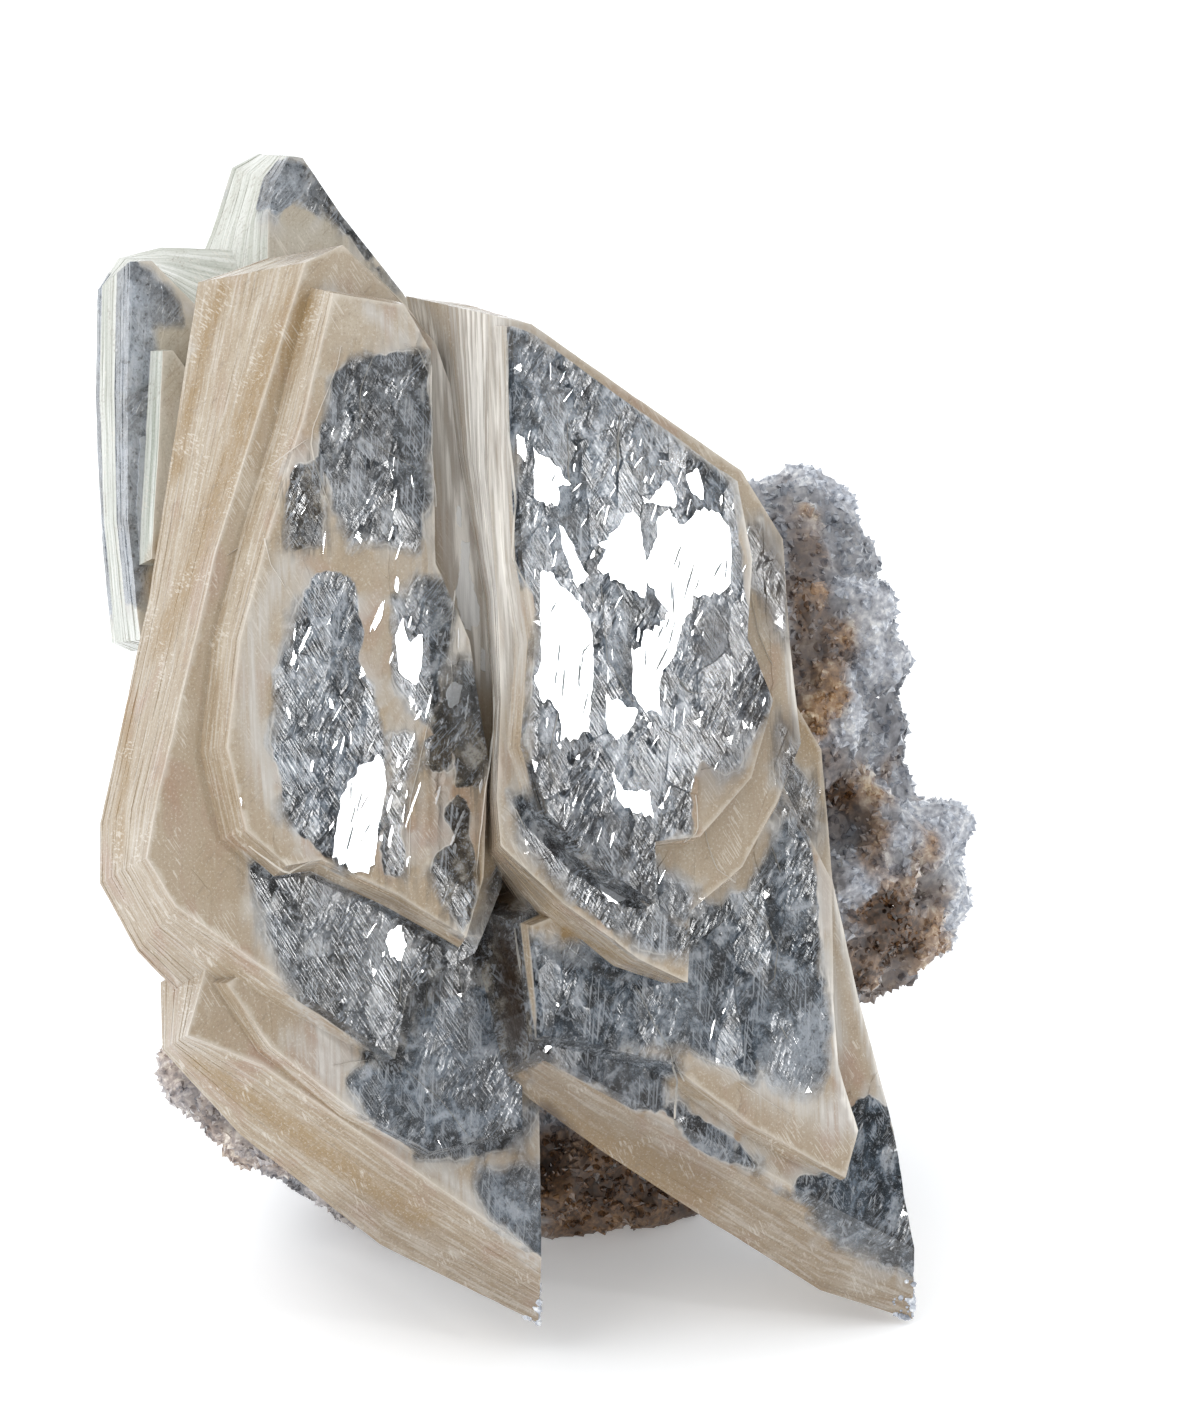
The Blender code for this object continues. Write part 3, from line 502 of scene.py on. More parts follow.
def soft_noise(points, width, seed):
    """Smooth noise from -1 to 1, whose lumps are about width across."""
    scaled = np.asarray(points, float) / width
    base = np.floor(scaled).astype(np.int64)
    part = scaled - base
    part = part * part * (3 - 2 * part)
    total = np.zeros(len(scaled))
    for corner in np.ndindex(2, 2, 2):
        cell = base + corner
        mixed = (cell[:, 0] * 73856093) ^ (cell[:, 1] * 19349663) ^ (cell[:, 2] * 83492791)
        mixed = (mixed ^ (seed * 2654435761)) & 0xFFFFFFFF
        mixed = ((mixed ^ (mixed >> 13)) * 1274126177) & 0xFFFFFFFF
        mixed ^= mixed >> 16
        weight = np.prod(np.where(corner, part, 1 - part), axis=1)
        total += ((mixed & 0xFFFF) / 32767.5 - 1) * weight
    return total


def flat_noise(points, width, seed):
    """The same noise for points of a plane."""
    points = np.asarray(points, float)
    return soft_noise(np.c_[points, np.full(len(points), seed * 7.7)], width, seed)


def depth_in(points, outline):
    """Distance to a closed outline of a plane, positive inside."""
    points, ring = np.asarray(points, float), np.asarray(outline, float)
    best = np.full(len(points), np.inf)
    inside = np.zeros(len(points), bool)
    for start, end in zip(ring, np.roll(ring, -1, axis=0)):
        run = end - start
        along = ((points - start) @ run) / max(run @ run, 1e-12)
        apart = points - start - np.minimum(np.maximum(along, 0), 1)[:, None] * run
        best = np.minimum(best, (apart * apart).sum(axis=1))
        crosses = (start[1] > points[:, 1]) != (end[1] > points[:, 1])
        rise = end[1] - start[1] if abs(end[1] - start[1]) > 1e-12 else 1e-12
        inside ^= crosses & (points[:, 0] < start[0] + (points[:, 1] - start[1]) / rise * run[0])
    return np.where(inside, 1, -1) * np.sqrt(best)


def near_line(points, line):
    """Distance of points to an open line, in a plane or in space."""
    best = np.full(len(points), np.inf)
    line = np.asarray(line, float)
    for start, end in zip(line, line[1:]):
        run = end - start
        along = np.clip(((points - start) @ run) / max(run @ run, 1e-12), 0, 1)
        apart = points - start - along[:, None] * run
        best = np.minimum(best, (apart * apart).sum(axis=1))
    return np.sqrt(best)


def outward(ring):
    """Unit normals of a closed outline's points, away from its inside."""
    ring = np.asarray(ring, float)
    before, after = ring - np.roll(ring, 1, axis=0), np.roll(ring, -1, axis=0) - ring
    before /= np.maximum(np.hypot(*before.T), 1e-9)[:, None]
    after /= np.maximum(np.hypot(*after.T), 1e-9)[:, None]
    both = before + after
    normal = np.c_[both[:, 1], -both[:, 0]]
    normal /= np.maximum(np.hypot(*normal.T), 1e-9)[:, None]
    x, y = ring.T
    area = np.sum(x * np.roll(y, -1) - y * np.roll(x, -1))
    return normal if area > 0 else -normal


def grown(outline, out):
    """The outline moved outwards."""
    ring = np.asarray(outline, float)
    return ring + outward(ring) * out


def cut_up(outline, step):
    """The outline with points at most step apart."""
    ring = np.asarray(outline, float)
    made = []
    for p, q in zip(ring, np.roll(ring, -1, axis=0)):
        parts = max(1, int(np.ceil(np.hypot(*(q - p)) / step)))
        made.append(p + (q - p) * (np.arange(parts) / parts)[:, None])
    return np.concatenate(made)


def dash_outline(width, high, low):
    """A thin pointed outline between two points."""
    high, low = np.array(high, float), np.array(low, float)
    run = high - low
    side = np.array([run[1], -run[0]]) / np.hypot(*run) * width / 2
    return [tuple(low + run * share + side * out) for share, out in
            ((1, 0.4), (0.8, 1), (0.3, 0.9), (0, 0.3), (0.15, -1), (0.7, -0.9), (1, -0.4))]


def smooth_steps(value):
    """From 0 to 1 with soft ends."""
    value = np.clip(value, 0, 1)
    return value * value * (3 - 2 * value)


def placed(name, data):
    """A new object that stands in the scene."""
    made = bpy.data.objects.new(name, data)
    bpy.context.scene.collection.objects.link(made)
    return made


def give(mesh, key, values, domain="POINT"):
    """Stores one number for each point or face, for the materials to read."""
    mesh.attributes.new(key, "FLOAT", domain).data.foreach_set(
        "value", np.asarray(values, np.float32))


def move_points(mesh, points):
    """Gives the mesh new points, none of them below the resting plane."""
    points[:, 2] = np.maximum(points[:, 2], 0)
    mesh.vertices.foreach_set("co", points.astype(np.float32).ravel())


def solid_tree(node):
    """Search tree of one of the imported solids."""
    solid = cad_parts[node].data
    return BVHTree.FromPolygons([v.co for v in solid.vertices],
                                [tuple(p.vertices) for p in solid.polygons])


# =============================== growing a crystal ===============================

FACE, WALL, LINE, SHINE = range(4)  # kinds of faces
BAR_SUNK, BAR_PROUD = 0.12, 0.13  # mm: how deep a bright line goes into its face and stands out


class Body:
    """Points in (a, l, w) mm and faces of closed bodies, gathered before they become a mesh."""

    def __init__(self, sizes, seed, windows):
        self.sizes, self.random = sizes, np.random.default_rng(seed)
        self.seed, self.windows = seed, windows
        self.points, self.tones, self.rims, self.count = [], [], [], 0
        self.lifted = {}  # heights of the mosaic at the edges that it shares with walls
        self.faces, self.kinds = [], []

    def add(self, points, tone=0.5, rim=0.0):
        """Takes points in, and returns their numbers."""
        first = self.count
        self.points.append(np.asarray(points, float))
        self.tones.append(np.broadcast_to(np.asarray(tone, float), len(points)))
        self.rims.append(np.broadcast_to(np.asarray(rim, float), len(points)))
        self.count += len(points)
        return np.arange(first, self.count)

    def ring(self, outline, level, tone=0.5, rim=0.0):
        """The outline at a level, as numbers of points."""
        outline = np.asarray(outline, float)
        return self.add(np.c_[outline, np.full(len(outline), level)], tone, rim)

    def join(self, low, high):
        """Wall between two rings."""
        for i in range(len(low)):
            self.faces.append((low[i - 1], low[i], high[i], high[i - 1]))
            self.kinds.append(WALL)

    def spread(self, outlines):
        """Outlines of equal count cut into short steps, alike on each."""
        outlines = [np.asarray(o, float) for o in outlines]
        runs = [np.hypot(*(np.roll(o, -1, axis=0) - o).T) for o in outlines]
        counts = np.ceil(np.max(runs, axis=0) / self.sizes.step).astype(int)
        made = []
        for outline in outlines:
            following = np.roll(outline, -1, axis=0)
            made.append(np.concatenate([
                p + (q - p) * (np.arange(n) / n)[:, None]
                for p, q, n in zip(outline, following, counts)]))
        return made

    def walls(self, stations, first=None):
        """Ledged walls through (outline, level) stations; returns the lowest and highest rings."""
        outlines = self.spread([s[0] for s in stations])
        levels = [s[1] for s in stations]
        start = last = first
        for part, (low, high) in enumerate(zip(outlines, outlines[1:])):
            w_low, w_high = levels[part:part + 2]
            layers = max(2, round(abs(w_high - w_low) / self.sizes.layer))
            cuts = np.cumsum(self.random.uniform(0.35, 1.65, layers))
            cuts = np.r_[0, cuts / cuts[-1]]
            for k in range(layers):
                out = -self.sizes.ledge * self.random.uniform(0.3, 1.7) * (k % 2)
                tone = np.clip(self.random.normal(0.5, 0.22), 0, 1)
                wavy = int(self.random.integers(1, 10 ** 6))
                for share in (cuts[k], cuts[k + 1]):
                    ring = low + (high - low) * share
                    sway = flat_noise(ring, 2.6, wavy) * 0.03 + flat_noise(ring, 0.9, 5) * 0.02
                    level = w_low + (w_high - w_low) * share
                    # The ring at the face's edge is marked as rim, which the material paints
                    # lighter: a painted highlight along the edge.
                    edge = part == len(outlines) - 2 and k == layers - 1 and share == 1
                    made = self.ring(ring + outward(ring) * (out + sway)[:, None], level, tone,
                                     float(edge))
                    if last is None:
                        start = made
                    else:
                        self.join(last, made)
                    last = made
        return start, last

    def cap(self, ring, level, holes=(), glints=(), under=False):
        """Face that closes a ring, with a mosaic of slightly tilted blocks. holes are rings."""
        cloud = np.concatenate(self.points)
        outline = cloud[ring][:, :2]
        inner = [cloud[h][:, :2] for h in holes]
        mosaic = Mosaic(self, outline, inner, level, glints, under)
        flat, edges = mosaic.flat_points()
        fixed = len(outline) + sum(len(h) for h in inner)
        where, _, tris, origins, _, _ = delaunay_2d_cdt(
            [Vector(p) for p in flat], edges, [], 0, 1e-5, True)
        where = np.array([tuple(p) for p in where])
        keys = np.concatenate([ring, *holes])
        heights = level + mosaic.heights(where) * (-1 if under else 1)
        numbers = np.empty(len(where), int)
        fresh = []
        for i, came in enumerate(origins):
            known = [k for k in came if k < fixed]
            if known:
                numbers[i] = keys[known[0]]
                self.lifted[numbers[i]] = heights[i] - level
            else:
                fresh.append(i)
        numbers[fresh] = self.add(np.c_[where[fresh], heights[fresh]])
        tris = np.array([t for t in tris if len(t) == 3])
        middles = where[tris].mean(axis=1)
        keep = depth_in(middles, outline) > 0
        for hole in inner:
            keep &= depth_in(middles, hole) < 0
        shining = np.zeros(len(tris), bool)
        for facet, *_ in mosaic.facets:
            near = np.flatnonzero((np.abs(middles - facet.mean(0)) < np.ptp(facet, axis=0)).all(1))
            shining[near] |= depth_in(middles[near], facet) > 0
        for tri, bright in zip(numbers[tris[keep]], shining[keep]):
            self.faces.append(tuple(tri[::-1]) if under else tuple(tri))
            self.kinds.append(SHINE if bright else FACE)

    def sliver(self, level, width, line):
        """A thin bright line standing a hair proud of a face: a closed three-sided bar."""
        line = np.asarray(line, float)
        runs = np.r_[0, np.cumsum(np.hypot(*np.diff(line, axis=0).T))]
        at = np.linspace(0, runs[-1], max(4, int(runs[-1] / 0.5)))
        path = np.c_[np.interp(at, runs, line[:, 0]), np.interp(at, runs, line[:, 1])]
        path += 0.07 * np.c_[flat_noise(path, 1.0, 31), flat_noise(path, 1.0, 32)]
        heading = np.gradient(path, axis=0)
        heading /= np.hypot(*heading.T)[:, None]
        side = np.c_[-heading[:, 1], heading[:, 0]]
        taper = np.sin(np.linspace(0.15, math.pi - 0.15, len(path))) ** 0.5
        half = (width / 2 * taper * (1 + 0.5 * flat_noise(path, 0.8, 33)))[:, None]
        left, right, top = (
            self.ring(points, level + lift) for points, lift in
            ((path + side * half, -BAR_SUNK), (path - side * half, -BAR_SUNK), (path, BAR_PROUD)))
        for k in range(len(path) - 1):
            for p, q in ((left, top), (top, right), (right, left)):
                self.faces.append((p[k], p[k + 1], q[k + 1], q[k]))
                self.kinds.append(LINE)
        self.faces += [(left[0], top[0], right[0]), (left[-1], right[-1], top[-1])]
        self.kinds += [LINE, LINE]


class Mosaic:
    """The blocks that a crystal face is made of: which block a point is in, and how high it is."""
    JOINT = 0.035  # mm: half the width of the joint between two blocks
    MISS = 0.032  # slope by which a block stays clear of mirroring the lamp
    EDGE_ROOM = 0.35  # mm: inner points and chips stay this far from a face's edges
    CHIP_ROOM = 0.12  # mm: and chips this far from one another
    CHIP_HALF, CHIP_LONG = (0.05, 0.2), (0.15, 0.9)  # mm: half the width and length of a chip

    def __init__(self, body, outline, inner, level, glints, under):
        self.outline, self.inner, self.level = outline, inner, level
        self.windows = body.windows
        self.sizes, self.random = body.sizes, body.random
        self.noise_seed = body.seed % 97
        low, high = outline.min(0), outline.max(0)
        self.scale = np.array([self.sizes.cell_width, self.sizes.cell_length])
        across = np.arange(low[0] - 3, high[0] + 3, self.scale[0])
        along = np.arange(low[1] - 8, high[1] + 8, self.scale[1])
        grid = np.array([(x, y + (i % 2) * self.scale[1] / 2)
                         for i, x in enumerate(across) for y in along])
        self.seeds = grid + self.random.uniform(-0.42, 0.42, grid.shape) * self.scale
        spots = np.c_[self.seeds, np.full(len(self.seeds), level)]
        clear = zone_depth(spots, self.windows)[0] > 0.4
        blocks = [self.block_plane(s, 1.0 if c else 0.15) for s, c in zip(self.seeds, clear)]
        self.slopes = np.array([b[0] for b in blocks])
        self.lifts = np.array([b[1] for b in blocks])
        self.facets = []  # (outline, spot, slope, lift), the later ones cut into the earlier ones
        if not under:
            for glint_level, glint in glints:
                if abs(glint_level - level) < 0.4:
                    self.shine(np.asarray(glint, float))
            self.sparks()

    def wanted(self, spot):
        """Slope in a and l of a facet at spot that mirrors the lamp to the eye."""
        place = Vector(to_row([(spot[0], spot[1], self.level)])[0])
        half = ((EYE - place).normalized() + (lamp_place() - place).normalized()).normalized()
        a, l, w = AXES @ np.array(half)
        return np.array([-a / w, -l / w])

    def heading(self):
        """A random direction in the face."""
        turn = self.random.uniform(0, 2 * math.pi)
        return np.array([math.cos(turn), math.sin(turn)])

    def block_plane(self, seed, share):
        """Slope and lift of a block, never so that it mirrors the lamp to the eye by chance."""
        heading = self.heading()
        size = share * math.tan(self.sizes.tilt) * self.random.uniform(0.35, 1)
        slope = size * heading
        miss = slope - self.wanted(seed)
        gap = np.hypot(*miss)
        if gap < self.MISS:
            slope += miss / max(gap, 1e-6) * (self.MISS - gap)
        return slope, share * self.random.uniform(-0.05, 0.05)

    def facet(self, outline, slope, lift):
        """Cuts a tilted facet into the face."""
        self.facets.append((outline, outline.mean(axis=0), slope, lift))

    def shine(self, glint):
        """A shining facet with ragged edges, chips round it and slits in it."""
        rough = cut_up(glint, 0.4)
        out = outward(rough)
        size = min(1.0, math.sqrt(abs(self.area(glint))) / 3)
        amount = size * (0.06 + 0.3 * np.abs(out[:, 1:]) ** 2)
        rough = rough + out * amount * self.random.uniform(-1, 1, (len(rough), 1))
        self.facet(rough, self.wanted(glint.mean(axis=0)), 0.06)
        round_it = np.hypot(*(np.roll(glint, -1, axis=0) - glint).T).sum()
        for _ in range(int(round_it * self.sizes.chips)):
            foot = rough[self.random.integers(len(rough))]
            away = self.random.exponential(0.8) + 0.2
            self.chip(foot + away * (self.heading() * (1, 1.5)),
                      self.random.uniform(*self.CHIP_HALF), self.random.uniform(*self.CHIP_LONG))
        for _ in range(int(abs(self.area(glint)) * 0.3)):
            spot = rough[self.random.integers(len(rough))]
            spot = spot + (glint.mean(axis=0) - spot) * self.random.uniform(0.05, 0.8)
            long = self.random.uniform(0.3, 1.7)
            slit = self.blade(spot, self.random.uniform(0.04, 0.08), long)
            if (depth_in(slit, rough) > 0.08).all():
                self.facet(slit, self.wanted(spot) + 0.09 * self.heading(), 0.03)

    def area(self, ring):
        """Area in an outline, negative where it runs clockwise."""
        x, y = ring.T
        return np.sum(x * np.roll(y, -1) - y * np.roll(x, -1)) / 2

    def blade(self, spot, half, long):
        """A small ragged outline, longest up the crystal."""
        turns = np.sort(self.random.uniform(0, 2 * math.pi, 7))
        while np.diff(np.r_[turns, turns[0] + 2 * math.pi]).max() > 2.2:
            turns = np.sort(self.random.uniform(0, 2 * math.pi, 7))
        lean = self.random.normal(-0.3, 0.18)
        x, y = half * np.cos(turns), long * np.sin(turns)
        return spot + np.c_[x * math.cos(lean) - y * math.sin(lean),
                            x * math.sin(lean) + y * math.cos(lean)]

    def chip(self, spot, half, long):
        """A small shining facet, where there is room for it."""
        outline = self.blade(spot, half, long)
        if self.margin(outline).min() < self.EDGE_ROOM or not self.clear_here(spot):
            return
        if not any(depth_in(outline, other).max() > -self.CHIP_ROOM
                   or depth_in(other, outline).max() > -self.CHIP_ROOM
                   for other, middle, *_ in self.facets if np.hypot(*(middle - spot)) < 12):
            self.facet(outline, self.wanted(spot), 0.05)

    def clear_here(self, spot):
        """Whether chips may shine here: in a window, or in the bright strip beside one."""
        point = np.array([[spot[0], spot[1], self.level]])
        depth, _ = zone_depth(point, self.windows)
        return depth[0] > -0.2 or near_line(point, BRIGHT_STRIP)[0] < 2.6

    def sparks(self):
        """Loose shining chips, which thin out away from the shining spot."""
        low, high = self.outline.min(0), self.outline.max(0)
        count = int(np.prod(high - low) * 0.26)
        for spot in low + (high - low) * self.random.random((count, 2)):
            away = np.hypot(spot[0] - SHINE_SPOT[0] + 5, (spot[1] - SHINE_SPOT[1]) * 0.8)
            if self.random.random() < math.exp(-(away / 15) ** 2):
                self.chip(spot, self.random.uniform(0.05, 0.12), self.random.uniform(0.15, 0.95))

    def shift(self, points):
        """Small wander that makes the joints between the blocks ragged."""
        points = np.asarray(points, float)
        return 0.28 * np.c_[flat_noise(points, 1.3, self.noise_seed + 1),
                            flat_noise(points, 1.3, self.noise_seed + 2)]

    def block_of(self, points):
        """The block that each point is in, and the distance to the next one."""
        spots = (points - self.shift(points)) / self.scale
        apart = ((spots[:, None, :] - self.seeds[None] / self.scale) ** 2).sum(axis=2)
        order = np.argpartition(apart, 1, axis=1)[:, :2]
        rows = np.arange(len(points))
        near, far = apart[rows, order[:, 0]], apart[rows, order[:, 1]]
        first = np.where(near <= far, order[:, 0], order[:, 1])
        second = np.where(near <= far, order[:, 1], order[:, 0])
        between = np.hypot(*((self.seeds[first] - self.seeds[second]) / self.scale).T)
        margin = np.abs(far - near) / (2 * np.maximum(between, 1e-9))
        return first, margin * self.scale[0]

    def margin(self, points):
        """Distance to the nearest edge of the face or of a hole in it."""
        room = depth_in(points, self.outline)
        for hole in self.inner:
            room = np.minimum(room, -depth_in(points, hole))
        return room

    def by_facets(self, points, room):
        """Each facet with the numbers of the points that may be within room of it."""
        for facet in self.facets:
            low, top = facet[0].min(0) - room, facet[0].max(0) + room
            near = np.flatnonzero(((points > low) & (points < top)).all(axis=1))
            if len(near):
                yield facet, near

    def heights(self, points):
        """Height of each point over the face's level."""
        block, _ = self.block_of(points)
        high = ((points - self.seeds[block]) * self.slopes[block]).sum(axis=1) + self.lifts[block]
        for (outline, spot, slope, lift), near in self.by_facets(points, 0.1):
            near = near[depth_in(points[near], outline) > 0]
            high[near] = (points[near] - spot) @ slope + lift
        return high

    def cell(self, number):
        """Outline of one block, before it is made ragged."""
        own = self.seeds[number] / self.scale
        others = self.seeds / self.scale
        apart = np.hypot(*(others - own).T)
        poly = [own + np.array(c) * 1.5 for c in ((-1, -1), (1, -1), (1, 1), (-1, 1))]
        for j in np.argsort(apart)[1:20]:
            middle, normal = (own + others[j]) / 2, others[j] - own
            kept = []
            for p, q in zip(poly, poly[1:] + poly[:1]):
                dp, dq = (p - middle) @ normal, (q - middle) @ normal
                if dp <= 0:
                    kept.append(p)
                if (dp < 0 < dq) or (dq < 0 < dp):
                    kept.append(p + (q - p) * dp / (dp - dq))
            poly = kept
        return np.array(poly) * self.scale

    def clear_of_facets(self, points, room):
        """Whether each point keeps off the facets' outlines."""
        good = np.ones(len(points), bool)
        for (outline, *_), near in self.by_facets(points, room):
            good[near] &= np.abs(depth_in(points[near], outline)) > room
        return good

    def flat_points(self):
        """Points and edges for the face's triangulation, its own rings first."""
        flat, edges = [], []

        def closed(points):
            first = len(flat)
            flat.extend(map(tuple, points))
            edges.extend((first + i, first + (i + 1) % len(points)) for i in range(len(points)))

        for loop in (self.outline, *self.inner):
            closed(loop)
        for outline, *_ in self.facets:
            closed(grown(outline, -0.03))
            closed(grown(outline, 0.03))
        rims = []
        for number in np.flatnonzero(self.margin(self.seeds) > -8):
            poly = self.cell(number)
            if len(poly) > 2:
                rim = cut_up(poly, 0.7)
                rims.append(rim - outward(rim) * self.JOINT)
        every = np.concatenate(rims)
        every = every + self.shift(every)
        good = self.margin(every) > 0.3
        good[good] = self.clear_of_facets(every[good], 0.15)
        for outline, *_ in self.facets:
            near = np.flatnonzero(good & (np.abs(every - outline.mean(0)).max(axis=1) < 14))
            good[near] &= depth_in(every[near], outline) < 0
        first = 0
        for rim in rims:
            fine = good[first:first + len(rim)]
            spots = every[first:first + len(rim)]
            first += len(rim)
            numbers = np.full(len(rim), -1)
            for i in np.flatnonzero(fine):
                numbers[i] = len(flat)
                flat.append(tuple(spots[i]))
            edges += [(i, j) for i, j in zip(numbers, np.roll(numbers, -1)) if i >= 0 and j >= 0]
        flat.extend(map(tuple, self.grid_points()))
        return flat, edges

    def grid_points(self):
        """Points that fill the face between the blocks' joints."""
        low, high = self.outline.min(0), self.outline.max(0)
        pitch = self.sizes.grid
        spots = np.array([(x, y) for x in np.arange(low[0], high[0], pitch)
                          for y in np.arange(low[1], high[1], pitch)])
        spots = spots + self.random.uniform(-0.3, 0.3, spots.shape) * pitch
        spots = spots[self.margin(spots) > self.EDGE_ROOM]
        _, clear = self.block_of(spots)
        spots = spots[clear > 0.14]
        return spots[self.clear_of_facets(spots, 0.13)]


def grow(sizes, seed, stacks, windows=(), glints=(), lines=()):
    """Closed bodies, one for each stack of (stations, terraces). Windows show at the back too."""
    behind = [(stations[0][1], brown, outline)
              for stations, _ in stacks for _, brown, outline in windows]
    body = Body(sizes, seed, windows + behind)
    for stations, terraces in stacks:
        low, high = body.walls(stations)
        body.cap(low, stations[0][1], under=True)
        holes = []
        level = stations[-1][1]
        for outline, top, spread in terraces:
            foot = body.ring(body.spread([grown(outline, spread), outline])[0], level)
            _, brow = body.walls([(grown(outline, spread), level), (outline, top)], foot)
            body.cap(brow, top, glints=glints)
            holes.append(foot)
        body.cap(high, level, holes=holes, glints=glints)
    for line in lines:
        body.sliver(*line)
    return body


def zone_depth(points, zones):
    """Depth inside the deepest window of a point's own level, and that window's brownness."""
    best, brown = np.full(len(points), -5.0), np.zeros(len(points))
    for level, brownness, outline in zones:
        low, high = level if isinstance(level, tuple) else (level - 1, level + 1)
        near = np.flatnonzero((points[:, 2] > low) & (points[:, 2] < high))
        if len(near):
            depth = depth_in(points[near, :2], outline)
            more = near[depth > best[near]]
            best[more] = depth[depth > best[near]]
            brown[more] = brownness
    return best, brown


def streak_share(points, streaks):
    """How strongly soft streaks of (half width, line, strength) colour each point."""
    best = np.zeros(len(points))
    for half, line, *strength in streaks:
        share = np.exp(-(near_line(points, line) / half) ** 2)
        best = np.maximum(best, share * (strength[0] if strength else 1.0))
    return best


def body_mesh(name, body):
    """The gathered bodies as an object, with the attributes that its patterns follow."""
    points = np.concatenate(body.points)
    points[list(body.lifted), 2] += list(body.lifted.values())
    mesh = bpy.data.meshes.new(name)
    mesh.from_pydata(to_row(points).tolist(), [], [tuple(map(int, f)) for f in body.faces])
    mesh.update()
    depth, brown = zone_depth(points, body.windows)
    mesh.attributes.new("plate", "FLOAT_VECTOR", "POINT").data.foreach_set(
        "vector", points.astype(np.float32).ravel())
    for key, values in (("window", depth), ("brown", brown),
                        ("veil_and_painted_light", streak_share(points, VEILS_AND_PAINTED_LIGHT)),
                        ("ochre", streak_share(points, OCHRE)),
                        ("umber_and_painted_shade", streak_share(points, UMBER_AND_PAINTED_SHADE)),
                        ("tone", np.concatenate(body.tones)),
                        ("rim", np.concatenate(body.rims))):
        give(mesh, key, values)
    # shine marks the facets cut to mirror the lamp; the material also paints them pale, a painted
    # highlight.
    kinds = np.array(body.kinds)
    for key, kind in (("wall", WALL), ("line", LINE), ("shine", SHINE)):
        give(mesh, key, kinds == kind, "FACE")
    made = placed(name, mesh)
    cleaned = bmesh.new()
    cleaned.from_mesh(mesh)
    bmesh.ops.remove_doubles(cleaned, verts=cleaned.verts, dist=1e-7)
    bmesh.ops.dissolve_degenerate(cleaned, dist=1e-7, edges=cleaned.edges)
    bmesh.ops.recalc_face_normals(cleaned, faces=cleaned.faces)
    cleaned.to_mesh(mesh)
    cleaned.free()
    return made


# =============================== materials ===============================

def add_node(tree, kind, inputs=(), out=0, stops=(), **settings):
    """Adds a node, sets or links its inputs, in order or by key, and returns an output socket."""
    made = tree.nodes.new(kind)
    for key, value in settings.items():
        setattr(made, key, value)
    for key, value in (inputs if isinstance(inputs, dict) else dict(enumerate(inputs))).items():
        if isinstance(value, bpy.types.NodeSocket):
            tree.links.new(value, made.inputs[key])
        else:
            made.inputs[key].default_value = value
    for k, (place, colour) in enumerate(stops):
        marks = made.color_ramp.elements
        mark = marks[k] if k < 2 else marks.new(place)
        mark.position, mark.color = place, linear(colour)
    return made.outputs[out] if made.outputs else made


def empty_tree(made):
    """Node tree of a new material or world, with nothing in it."""
    made.use_nodes = True
    made.node_tree.nodes.clear()
    return made.node_tree


def laid_over(tree, colour, layers):
    """The colour under layers of (source, its low and high end, share at the high end, paint)."""
    for source, low, high, share, paint in layers:
        shown = add_node(tree, "ShaderNodeMapRange", (source, low, high, 0.0, share))
        paint = linear(paint) if isinstance(paint, str) else paint
        colour = add_node(tree, "ShaderNodeMix", {0: shown, 6: colour, 7: paint}, 2,
                          data_type="RGBA")
    return colour


# Patterns of the crystals: size of one lump across, along and out of the plates in mm, turn in
# degrees, detail, roughness and wander. Real flecks are finer than the 0.12 to 0.2 mm of the
# finest ones here, which are drawn that coarse to show.
PATTERNS = {
    "clouds": ((5.0, 9.0, 4.0), 4, 3.0, 0.55, 0.5),
    "patches": ((3.0, 5.0, 3.0), -12, 2.0, 0.5, 0.6),
    "streaks": ((0.5, 9.0, 0.5), 3, 3.0, 0.6, 0.0),
    "border": ((1.8, 3.0, 2.0), 0, 2.0, 0.5, 0.0),
    "mottle": ((1.7, 2.3, 1.7), -15, 3.0, 0.6, 0.5),
    "spots": ((0.5, 0.6, 0.5), -20, 2.0, 0.7, 0.0),
    "grain": ((0.17, 0.2, 0.17), 0, 1.0, 0.8, 0.0),
    "strokes": ((0.14, 2.4, 0.5), -42, 2.0, 0.5, 0.0),
    "cuts": ((0.12, 2.0, 0.5), 35, 1.0, 0.5, 0.0),
    "dashes": ((0.16, 1.3, 0.5), -20, 0.0, 0.5, 0.0),
    "growth": ((6.0, 8.0, 0.3), 0, 2.0, 0.65, 0.0),
    "fibres": ((0.16, 4.0, 0.5), -4, 1.0, 0.5, 0.0),
    "sheets": ((3.0, 5.0, 0.22), 0, 2.0, 0.6, 0.0),
}


